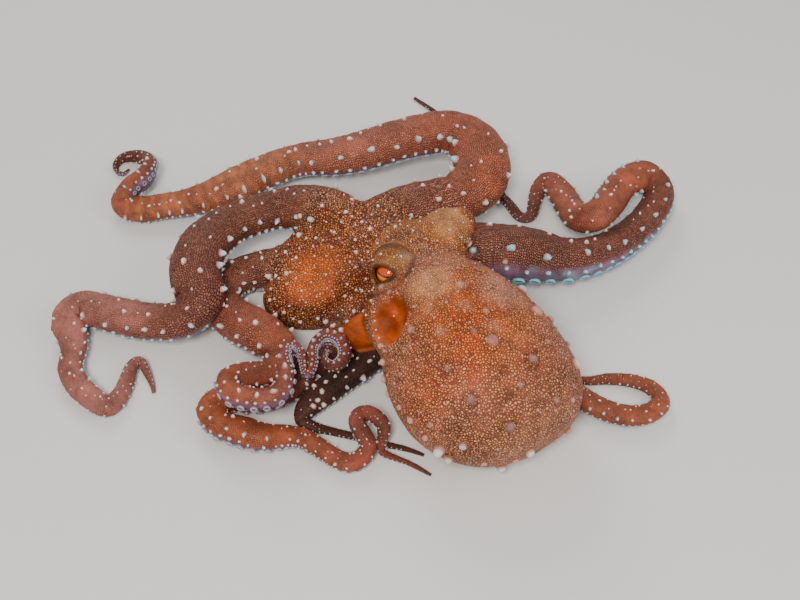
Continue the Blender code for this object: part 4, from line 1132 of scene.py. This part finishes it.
# Outlines from the foot to the top: distance from the axis, height, shade
CUP = [(1.02, -0.55, 0.35), (0.86, 0.0, 0.4), (0.98, 0.42, 0.7), (1.0, 0.66, 1.0), (0.86, 0.78, 1.0),
       (0.66, 0.62, 0.75), (0.46, 0.3, 0.35), (0.22, 0.22, 0.12)]
PAD = [(1.35, -0.5, 0.1), (1.05, 0.06, 0.35), (0.78, 0.4, 0.8), (0.56, 0.76, 1.0), (0.3, 0.96, 1.0)]
KNOB = [(1.9, -0.3, 0.0), (1.35, 0.02, 0.1), (1.05, 0.25, 0.4), (0.98, 0.5, 0.8), (0.86, 0.74, 1.0),
        (0.6, 0.92, 1.0), (0.3, 1.01, 1.0)]
CUP_DISH = 0.16
PAD_TOP = 1.03


def axes_of(out, along):
    out = unit(out)
    x = unit(along - out * (along @ out))
    return out, x, np.cross(out, x)


def add_form(pile, foot, axes, outline, top, angle, wave, radius, high, long=1.0, lean=0.0, pale=1.0,
             top_shade=1.0, shade_cyan=0.0):
    # a turned form on the skin: rings that follow the outline, closed by one point
    out, x, y = axes
    circle = x * (np.cos(angle) * wave)[:, None] * long + y * (np.sin(angle) * wave)[:, None]
    points = []
    shade = []
    for r, h, c in outline:
        points.extend(foot + out * h * high + lean * max(h, 0) * high + circle * r * radius)
        shade.extend([c * pale] * len(angle))
    points.append(foot + out * high * top + lean * high)
    shade.append(top_shade * pale)
    pile.add(points, ring_faces(len(outline), len(angle)), shade, shade_cyan)


def around_axis(sides):
    # angles of evenly spaced points
    return 2 * math.pi * np.arange(sides) / sides


def add_cup(foot, out, along, radius, squash, shade_cyan):
    angle = around_axis(14)
    wave = 1 + 0.04 * np.cos(2 * angle + foot[0]) + 0.02 * np.cos(3 * angle + foot[1])
    add_form(suckers, foot, axes_of(out, along), CUP, CUP_DISH, angle, wave, radius, radius, squash,
             top_shade=0.0, shade_cyan=shade_cyan)


def add_pad(foot, out, along, radius, high, long=1.0, sides=9, pale=1.0, shade_cyan=0.0):
    axes = axes_of(out, along)
    angle = around_axis(sides) + random.uniform(0, 1)
    wave = 1 + np.array([random.uniform(-0.26, 0.26) for _ in range(sides)])
    lean = axes[1] * random.uniform(-0.25, 0.25) + axes[2] * random.uniform(-0.25, 0.25)
    add_form(pads, foot, axes, PAD, PAD_TOP, angle, wave, radius, high, long, lean, pale, shade_cyan=shade_cyan)


def add_knob(foot, out, radius, high, pale, shade_cyan):
    x = unit(np.cross(out, (0.3, 0.2, 1.0)))
    angle = around_axis(14)
    wave = 1 + 0.07 * np.cos(2 * angle + foot[0]) + 0.06 * np.cos(3 * angle + foot[1])
    add_form(pads, foot, (out, x, np.cross(out, x)), KNOB, PAD_TOP, angle, wave, radius, high,
             pale=pale, shade_cyan=shade_cyan)


def touch(place):
    # the nearest place on the finished skin and its normal
    hit, normal, _, _ = lifted_tree.find_nearest(Vector(place))
    return np.array(hit), np.array(normal)


def on_arm(route, far, x, y, least=0.3):
    # place, normal and direction along the arm, and whether the skin there faces the asked way
    place, ahead, side, up, width = pick(route, far)
    hit, normal = touch(place + side * x * width / 2 + up * y * width / 2 * ARM_FLAT)
    facing = float(normal @ unit(side * x * 0.8 + up * y)) > least
    return hit, normal, ahead, facing


def add_suckers(arm, route, shade_cyan):
    share, sink = (0.095, 0.34) if shade_cyan >= COOL_SUCKERS else (0.13, 0.12)
    for hand in (-1, 1):
        far = ARM_JOIN[arm] - 14 + (0.0 if hand < 0 else 2.0)
        while far < route["end"] - 1.2:
            _, ahead, side, up, width = pick(route, far)
            radius = max(0.34, share * width * random.uniform(0.9, 1.08))
            hit, normal = on_arm(route, far, 0.66 * hand, -0.80)[:2]
            out = unit(side * 0.52 * hand - up * 0.86)
            if float(normal @ out) > 0.25:
                add_cup(hit - out * radius * sink, out, ahead, radius, random.uniform(0.92, 1.0), shade_cyan)
            far += max(0.85, 2.5 * radius)


def add_edge_pads(arm, route, shade_cyan):
    # the large pads along both edges of an arm
    for hand in (-1, 1):
        far = ARM_JOIN[arm] - 26 + random.uniform(0, 3)
        while far < route["end"] - 3:
            width = pick(route, far)[4]
            x = hand * random.uniform(0.84, 0.97)
            hit, normal, ahead, facing = on_arm(route, far, x, 0.5 - 1.6 * (abs(x) - 0.84))
            if facing and width > 2.4:
                in_coil = arm == "left_2" and far > 166
                radius = width * random.uniform(0.05, 0.078) * (1.7 if in_coil else 1.0)
                radius = min(max(radius, 0.3), 1.7)
                long = random.uniform(0.8, 1.3)
                if arm == "right_1" and 190 < far < 330:
                    radius, long = radius * 1.5, 0.5
                high = radius * random.uniform(1.1, 1.9) * long ** 0.5
                add_pad(hit, normal, ahead, radius, high, long, pale=0.72 if in_coil else 1.0, shade_cyan=shade_cyan)
            far += max(2.2, width * random.uniform(0.42, 0.64))


def add_low_pads(arm, route, shade_cyan):
    # the close row of small pads just above the suckers
    for hand in (-1, 1):
        far = ARM_JOIN[arm] - 14 + random.uniform(0, 3)
        while far < route["end"] - 3:
            width = pick(route, far)[4]
            hit, normal, ahead, facing = on_arm(route, far, 0.98 * hand, -0.34 + random.uniform(-0.08, 0.08))
            if facing and width > 2.0:
                radius = min(max(width * random.uniform(0.038, 0.055), 0.24), 1.05)
                add_pad(hit, normal, ahead, radius, radius * 1.2, random.uniform(0.9, 1.3), 7, 0.95, shade_cyan)
            far += max(1.5, width * random.uniform(0.21, 0.29))


def add_middle_papillae(arm, route):
    far = ARM_JOIN[arm] - 14
    while far < route["end"] - 6:
        width = pick(route, far)[4]
        hit, normal, ahead, facing = on_arm(route, far, random.uniform(-0.6, 0.6), 0.95)
        if facing and width > 4.5:
            radius = min(width * random.choice((0.024, 0.03, 0.042, 0.058)), 1.3)
            add_pad(hit, normal, ahead, radius, radius * 1.3, random.uniform(0.9, 1.4), 7, 0.95)
        far += width * random.uniform(0.16, 0.4)


# Share of blue-green on the pads and suckers of an arm, a painted tint of shade; arms not listed get the
# plain share, and from the last value up an arm's suckers are small
ARM_SHADE_CYAN = {"right_2": 1.0, "left_1": 0.6, "right_1": 0.5, "left_4": 0.8, "right_3": 0.7}
PLAIN_SHADE_CYAN = 0.3
COOL_SUCKERS = 0.5

# Pads on the crown, head and mantle: column, row, radius
SPOTS = [
    (325, 322, 1.3), (333, 326, 1.2), (341, 330, 1.3), (347, 322, 1.0), (318, 318, 1.0),
    (232, 262, 1.1), (246, 258, 1.0), (262, 258, 1.0), (285, 240, 1.2), (286, 252, 1.0),
    (300, 216, 1.1), (322, 206, 1.1), (346, 212, 1.0), (362, 222, 0.9), (296, 258, 0.9),
    (352, 200, 1.0), (378, 206, 0.9), (270, 300, 1.0), (284, 312, 1.0), (300, 322, 1.1),
    (355, 240, 0.8), (316, 238, 0.9), (334, 232, 0.8), (276, 276, 0.9), (345, 296, 0.9),
    (356, 252, 1.0), (362, 260, 0.6), (350, 262, 0.6), (356, 290, 0.8), (362, 291, 0.8), (369, 291, 0.6),
    (354, 311, 1.0), (370, 229, 1.1), (395, 227, 1.1), (373, 304, 0.45), (374, 312, 0.45), (375, 321, 0.45),
    (376, 330, 0.45), (379, 338, 0.45), (383, 346, 0.45), (394, 316, 0.5),
    (314, 386, 1.2), (322, 391, 1.3), (318, 400, 1.2), (326, 382, 1.0), (313, 406, 1.1), (324, 405, 1.2),
]

# Knobs along the outline of the mantle: column, row, radius, height, paleness, share of blue-green as a
# painted tint of shade
KNOBS = [
    (525, 287, 2.5, 2.6, 0.7, 0.9), (536, 312, 2.8, 2.5, 0.5, 0.0), (551, 319, 1.8, 1.8, 0.5, 0.2),
    (575, 364, 2.2, 2.4, 0.75, 0.2), (567, 430, 1.6, 1.8, 0.5, 0.1), (529, 451, 1.9, 2.6, 0.85, 0.1),
    (501, 466, 1.9, 2.6, 0.85, 0.1), (440, 449, 2.3, 3.8, 0.9, 0.1), (449, 458, 1.7, 2.2, 0.8, 0.0),
    (463, 446, 1.5, 1.8, 0.7, 0.3), (385, 379, 1.9, 1.9, 0.65, 0.1), (384, 362, 1.7, 1.8, 0.65, 0.1),
    (389, 394, 1.4, 1.4, 0.6, 0.0), (411, 420, 1.5, 1.6, 0.6, 0.0), (468, 243, 1.6, 1.6, 0.7, 0.6),
    (555, 440, 1.3, 1.4, 0.5, 0.0), (484, 463, 1.3, 1.5, 0.6, 0.0), (515, 460, 1.3, 1.4, 0.6, 0.0),
    (400, 407, 1.3, 1.3, 0.55, 0.0), (426, 437, 1.5, 1.6, 0.55, 0.0), (572, 400, 1.2, 1.2, 0.5, 0.0),
    (505, 262, 1.2, 1.2, 0.5, 0.2), (381, 346, 1.2, 1.3, 0.6, 0.0), (571, 342, 1.2, 1.2, 0.5, 0.0),
]

suckers = Pile()
pads = Pile()
for arm in arm_names:
    # share of blue-green on this arm's pads and suckers, a painted tint of shade
    shade_cyan = ARM_SHADE_CYAN.get(arm, PLAIN_SHADE_CYAN)
    add_suckers(arm, routes[arm], shade_cyan)
    add_edge_pads(arm, routes[arm], shade_cyan)
    add_low_pads(arm, routes[arm], shade_cyan)
    add_middle_papillae(arm, routes[arm])
for col, row, radius in SPOTS:
    hit, normal = touch(mark(col, row)[0])
    add_pad(hit, normal, view_up, radius, radius * 0.9)


def scatter_papillae():
    # small papillae over the crown, head and mantle, no two closer than their spacing
    placed = []
    open_skin = np.where(core & (arm_share < 0.2) & (dots > 0.6) & (base_normals[:, 2] > 0.1))[0]
    for i in rng.permutation(open_skin)[:PAPILLA_TRIES]:
        on_mantle = in_mantle[i] > 0.5
        spacing = 6.5 if on_mantle else 5.0
        if all(np.linalg.norm(lifted[i] - other) > spacing for other in placed):
            placed.append(lifted[i])
            radius = rng.uniform(0.4, 0.75)
            add_pad(lifted[i], base_normals[i], view_up, radius, radius * 1.3, rng.uniform(0.8, 1.2), 7,
                    0.5 if on_mantle else 0.85)


scatter_papillae()
for col, row, radius, high, pale, shade_cyan in KNOBS:
    place, facing = mark(col, row)
    hit, normal = touch(place)
    add_knob(hit, unit(normal + facing * 0.3), radius, high, pale, shade_cyan)
sucker_mesh = suckers.mesh("suckers")
pad_mesh = pads.mesh("white_pads")


# Eyes

def eye_form(name):
    # a ball with a slight bulge of the cornea in front
    sides, rings = 48, 36
    radius = EYE_RADIUS - 0.05
    points = []
    for i in range(1, rings):
        a = math.pi * i / rings
        r = radius + EYE_BULGE * math.exp(-(a / 0.55) ** 2)
        for j in range(sides):
            b = 2 * math.pi * j / sides
            points.append((r * math.sin(a) * math.cos(b), r * math.sin(a) * math.sin(b), r * math.cos(a)))
    front = len(points)
    points.append((0, 0, radius + EYE_BULGE))
    points.append((0, 0, -radius))
    faces = []
    for i in range(rings - 2):
        for j in range(sides):
            k = (j + 1) % sides
            faces.append((i * sides + j, (i + 1) * sides + j, (i + 1) * sides + k, i * sides + k))
    for j in range(sides):
        k = (j + 1) % sides
        faces.append((j, k, front))
        faces.append(((rings - 2) * sides + k, (rings - 2) * sides + j, front + 1))
    mesh = bpy.data.meshes.new(name)
    mesh.from_pydata(points, [], faces)
    return mesh


# Materials

class Look:
    def __init__(self, name):
        self.mat = bpy.data.materials.new(name)
        self.mat.use_nodes = True
        self.tree = self.mat.node_tree
        self.tree.nodes.clear()
        output = self.tree.nodes.new("ShaderNodeOutputMaterial")
        self.shader = self.tree.nodes.new("ShaderNodeBsdfPrincipled")
        self.tree.links.new(self.shader.outputs[0], output.inputs[0])
        self.where = self.tree.nodes.new("ShaderNodeTexCoord").outputs["Object"]

    def node(self, kind, sockets, **props):
        made = self.tree.nodes.new("ShaderNode" + kind)
        for key, value in props.items():
            setattr(made, key, value)
        for key, value in sockets.items():
            self.plug(value, made.inputs[key])
        return made

    def plug(self, value, socket):
        if isinstance(value, bpy.types.NodeSocket):
            self.tree.links.new(value, socket)
        else:
            socket.default_value = value

    def calc(self, kind, *values):
        return self.node("Math", dict(enumerate(values)), operation=kind).outputs[0]

    def times(self, first, *others):
        for other in others:
            first = self.calc("MULTIPLY", first, other)
        return first

    def attr(self, name):
        return self.node("Attribute", {}, attribute_name=name).outputs["Fac"]

    def vector(self, x, y, z=0.0):
        return self.node("CombineXYZ", {0: x, 1: y, 2: z}).outputs[0]

    def noise(self, scale, detail=3.0, rough=0.5, vector=None):
        sockets = {"Vector": vector or self.where, "Scale": scale, "Detail": detail, "Roughness": rough}
        return self.node("TexNoise", sockets).outputs["Fac"]

    def granules(self, scale, vector, dimensions="3D"):
        # how far inside its cell a point is, and a number of the cell's own
        sockets = {"Vector": vector, "Scale": scale, "Randomness": 0.85}
        edge = self.node("TexVoronoi", sockets, voronoi_dimensions=dimensions, feature="DISTANCE_TO_EDGE")
        cell = self.node("TexVoronoi", sockets, voronoi_dimensions=dimensions)
        own = self.node("SeparateColor", {0: cell.outputs["Color"]})
        return edge.outputs["Distance"], own.outputs[0]

    def span(self, value, a, b, low=0.0, high=1.0):
        sockets = {"Value": value, "From Min": a, "From Max": b, "To Min": low, "To Max": high}
        return self.node("MapRange", sockets, interpolation_type="SMOOTHSTEP").outputs[0]

    def either(self, share, a, b):
        return self.node("Mix", {0: share, 2: a, 3: b}, data_type="FLOAT").outputs[0]

    def mix(self, share, a, b, kind="MIX"):
        sockets = {0: share}
        for i, value in ((6, a), (7, b)):
            plain = isinstance(value, np.ndarray)
            sockets[i] = tuple(float(v) for v in value) + (1.0,) if plain else value
        return self.node("Mix", sockets, data_type="RGBA", blend_type=kind).outputs[2]

    def bump(self, height, distance, strength):
        return self.node("Bump", {"Height": height, "Distance": distance, "Strength": strength}).outputs[0]

    def set(self, **values):
        for key, value in values.items():
            self.plug(value, self.shader.inputs[key.replace("_", " ")])


def skin_look():
    # free golden granules on the core and rosy ones in rows on the arms, over the tint
    look = Look("octopus_skin")
    dots_at = look.attr("dots")
    on_arms = look.attr("arm_share")
    drift = look.node("TexNoise", {"Vector": look.where, "Scale": 240.0, "Detail": 1.0}).outputs["Color"]
    drift = look.node("VectorMath", {0: drift, 1: (0.0018,) * 3}, operation="MULTIPLY").outputs[0]
    warped = look.node("VectorMath", {0: look.where, 1: drift}, operation="ADD").outputs[0]
    free_edge, free_own = look.granules(860.0, warped)
    row_edge, row_own = look.granules(2.3, look.vector(look.attr("row"), look.attr("across")), "2D")
    edge = look.either(on_arms, free_edge, row_edge)
    own = look.either(on_arms, free_own, row_own)
    granule = look.times(look.span(edge, 0.06, 0.29), look.span(own, 0.0, 0.8, 0.45, 1.0))
    patchy = look.span(look.noise(95.0), 0.32, 0.62, 0.75, 1.0)
    granule_share = look.times(granule, look.times(dots_at, patchy))
    base = look.node("Attribute", {}, attribute_name="tint").outputs["Color"]
    mottle = look.span(look.noise(120.0, 6.0, 0.66), 0.32, 0.68, 0.5, 1.25)
    mottle = look.node("CombineColor", {0: mottle, 1: mottle, 2: mottle}).outputs[0]
    colour = look.mix(1.0, base, mottle, "MULTIPLY")
    less_on_arms = look.calc("SUBTRACT", 0.5, look.times(on_arms, 0.25))
    between = look.times(look.times(look.span(edge, 0.2, 0.04), dots_at), less_on_arms)
    colour = look.mix(between, colour, rgb(66, 22, 8))
    pale = look.mix(look.attr("rosy"), rgb(252, 156, 52), rgb(248, 180, 134))
    pale = look.mix(look.times(on_arms, 0.7), pale, rgb(236, 150, 126))
    pale = look.mix(0.15, pale, look.mix(0.45, base, rgb(255, 160, 40)))
    less_on_arms = look.calc("SUBTRACT", 0.95, look.times(on_arms, 0.2))
    colour = look.mix(look.times(granule_share, less_on_arms), colour, pale)
    height = look.calc("ADD", look.times(granule, dots_at), look.times(look.noise(700.0), 0.5))
    look.set(Base_Color=colour, Roughness=look.span(look.noise(400.0), 0.3, 0.7, 0.5, 0.68),
             Normal=look.bump(height, 0.0005, 0.95), Specular_IOR_Level=0.25, Coat_Weight=0.03,
             Coat_Roughness=0.3)
    return look


def sucker_look():
    look = Look("sucker_flesh")
    shade = look.attr("shade")
    tone = look.mix(look.span(shade, 0.0, 0.6), rgb(96, 48, 62), rgb(156, 98, 108))
    tone = look.mix(look.span(shade, 0.72, 1.0), tone, rgb(206, 172, 186))
    tone = look.mix(look.span(look.noise(300.0), 0.35, 0.7, 0.0, 0.3), tone, rgb(120, 62, 60))
    # blue-green on the suckers, by the arm's share, is a painted tint of shade
    shade_blue_green = look.mix(look.span(shade, 0.2, 1.0), rgb(70, 60, 84), rgb(104, 206, 222))
    tone = look.mix(look.times(look.attr("shade_cyan"), 0.8), tone, shade_blue_green)
    look.set(Base_Color=tone, Roughness=0.42, Normal=look.bump(look.noise(1100.0), 0.0001, 0.6),
             Coat_Weight=0.2)
    return look


def pad_look():
    look = Look("white_pad")
    shade = look.attr("shade")
    shade_cyan = look.attr("shade_cyan")
    # the bluer tip and the blue-green patches of the pads are a painted tint of shade
    tip = look.mix(shade_cyan, rgb(232, 222, 216), rgb(206, 222, 230))
    tone = look.mix(look.span(shade, 0.0, 0.55), rgb(132, 66, 36), rgb(196, 140, 124))
    tone = look.mix(look.span(shade, 0.5, 0.95), tone, tip)
    shade_blue_green = look.times(look.span(look.noise(420.0), 0.36, 0.62, 0.3, 1.0), shade_cyan, 0.8)
    tone = look.mix(look.times(shade_blue_green, look.span(shade, 0.2, 0.9)), tone, rgb(82, 206, 226))
    look.set(Base_Color=tone, Roughness=0.5, Normal=look.bump(look.noise(1500.0, 4.0), 0.00015, 0.8))
    return look


def eye_look():
    # a rayed red iris with a curved slit and a gold line under it; lengths in mm on the ball
    look = Look("eye")
    parts = look.node("SeparateXYZ", {0: look.where}).outputs
    u = look.calc("DIVIDE", parts[0], MM)
    v = look.calc("DIVIDE", parts[1], MM)
    bow = look.times(u, u, 0.045)
    from_line = look.calc("SUBTRACT", v, bow)
    reach = look.span(look.calc("ABSOLUTE", u), 4.6, 3.6)
    slit = look.times(look.span(look.calc("ABSOLUTE", from_line), 0.42, 0.24), reach)
    radius = look.calc("SQRT", look.calc("ADD", look.times(u, u), look.times(v, v)))
    turn = look.vector(look.times(look.calc("ARCTAN2", v, u), 6.0), look.times(radius, 0.4))
    rays = look.noise(2.4, 4.0, vector=turn)
    iris = look.mix(look.span(rays, 0.3, 0.7), rgb(196, 44, 0), rgb(244, 104, 2))
    iris = look.mix(look.span(radius, 4.2, 5.6), iris, rgb(120, 52, 10))
    under = look.calc("ABSOLUTE", look.calc("ADD", from_line, 1.5))
    gold = look.times(look.span(under, 1.1, 0.4), reach)
    iris = look.mix(look.times(gold, 0.8), iris, rgb(252, 186, 50))
    iris = look.mix(slit, iris, rgb(64, 12, 4))
    look.set(Base_Color=iris, Roughness=0.12, Coat_Weight=1.0, Coat_Roughness=0.04)
    return look


def floor_look():
    look = Look("floor")
    look.set(Base_Color=(0.78, 0.77, 0.75, 1.0), Roughness=0.85)
    return look


# Objects

def add_object(name, mesh, look):
    put(mesh, values_of(mesh.vertices, "co", 3) * MM)
    mesh.materials.append(look.mat)
    mesh.polygons.foreach_set("use_smooth", [True] * len(mesh.polygons))
    obj = bpy.data.objects.new(name, mesh)
    bpy.context.scene.collection.objects.link(obj)
    return obj


for name in ("arm", "far"):
    skin_mesh.attributes.remove(skin_mesh.attributes[name])
skin = add_object("octopus_skin", skin_mesh, skin_look())
flesh = [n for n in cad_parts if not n.startswith("eye_")]
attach(skin, "root")
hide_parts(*flesh)
cups = add_object("suckers", sucker_mesh, sucker_look())
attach(cups, "root")
white = add_object("white_pads", pad_mesh, pad_look())
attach(white, "root")
eyeball_look = eye_look()
for hand, eye in EYES.items():
    obj = add_object("eyeball_" + hand, eye_form("eyeball_" + hand), eyeball_look)
    axis, across, upward = eye_axes(eye["axis"], SLIT_TILT if hand == "left" else -SLIT_TILT)
    turned = Matrix((tuple(across), tuple(upward), tuple(axis))).transposed().to_4x4()
    turned.translation = Vector(eye["ball"] * MM)
    obj.matrix_world = turned
    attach(obj, "root")
    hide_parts("eye_" + hand)


# Floor, light and camera

FLOOR_HALF = 4.0             # m
floor_mesh = bpy.data.meshes.new("floor")
corners = [(x * FLOOR_HALF, y * FLOOR_HALF, 0) for x, y in ((-1, -1), (1, -1), (1, 1), (-1, 1))]
floor_mesh.from_pydata(corners, [], [(0, 1, 2, 3)])
floor_mesh.materials.append(floor_look().mat)
floor = bpy.data.objects.new("floor", floor_mesh)
bpy.context.scene.collection.objects.link(floor)

world = bpy.data.worlds.new("world")
world.use_nodes = True
world.node_tree.nodes["Background"].inputs[0].default_value = (1.0, 0.98, 0.95, 1.0)
world.node_tree.nodes["Background"].inputs[1].default_value = 0.36
bpy.context.scene.world = world


def lamp(name, where, size, power, colour=(1, 1, 1)):
    # a square light at a place in m, turned to the octopus
    light = bpy.data.lights.new(name, "AREA")
    light.size = size
    light.energy = power
    light.color = colour
    obj = bpy.data.objects.new(name, light)
    obj.location = where
    obj.rotation_euler = (-Vector(where)).to_track_quat("-Z", "Y").to_euler()
    bpy.context.scene.collection.objects.link(obj)


lamp("key", (-0.15, -0.7, 0.95), 0.3, 10.5, (1.0, 0.95, 0.88))
lamp("fill", (0.9, -0.3, 0.7), 0.7, 4.0, (0.92, 0.96, 1.0))
lamp("back", (-0.3, 0.9, 0.8), 0.6, 5.0)

lens = bpy.data.cameras.new("view")
lens.lens = VIEW_LENS
lens.sensor_width = VIEW_SENSOR
lens.clip_start = 0.01
camera = bpy.data.objects.new("view", lens)
camera.location = view_from * MM
camera.rotation_euler = (math.radians(90 - VIEW_ELEVATION), 0, 0)
bpy.context.scene.collection.objects.link(camera)
bpy.context.scene.camera = camera
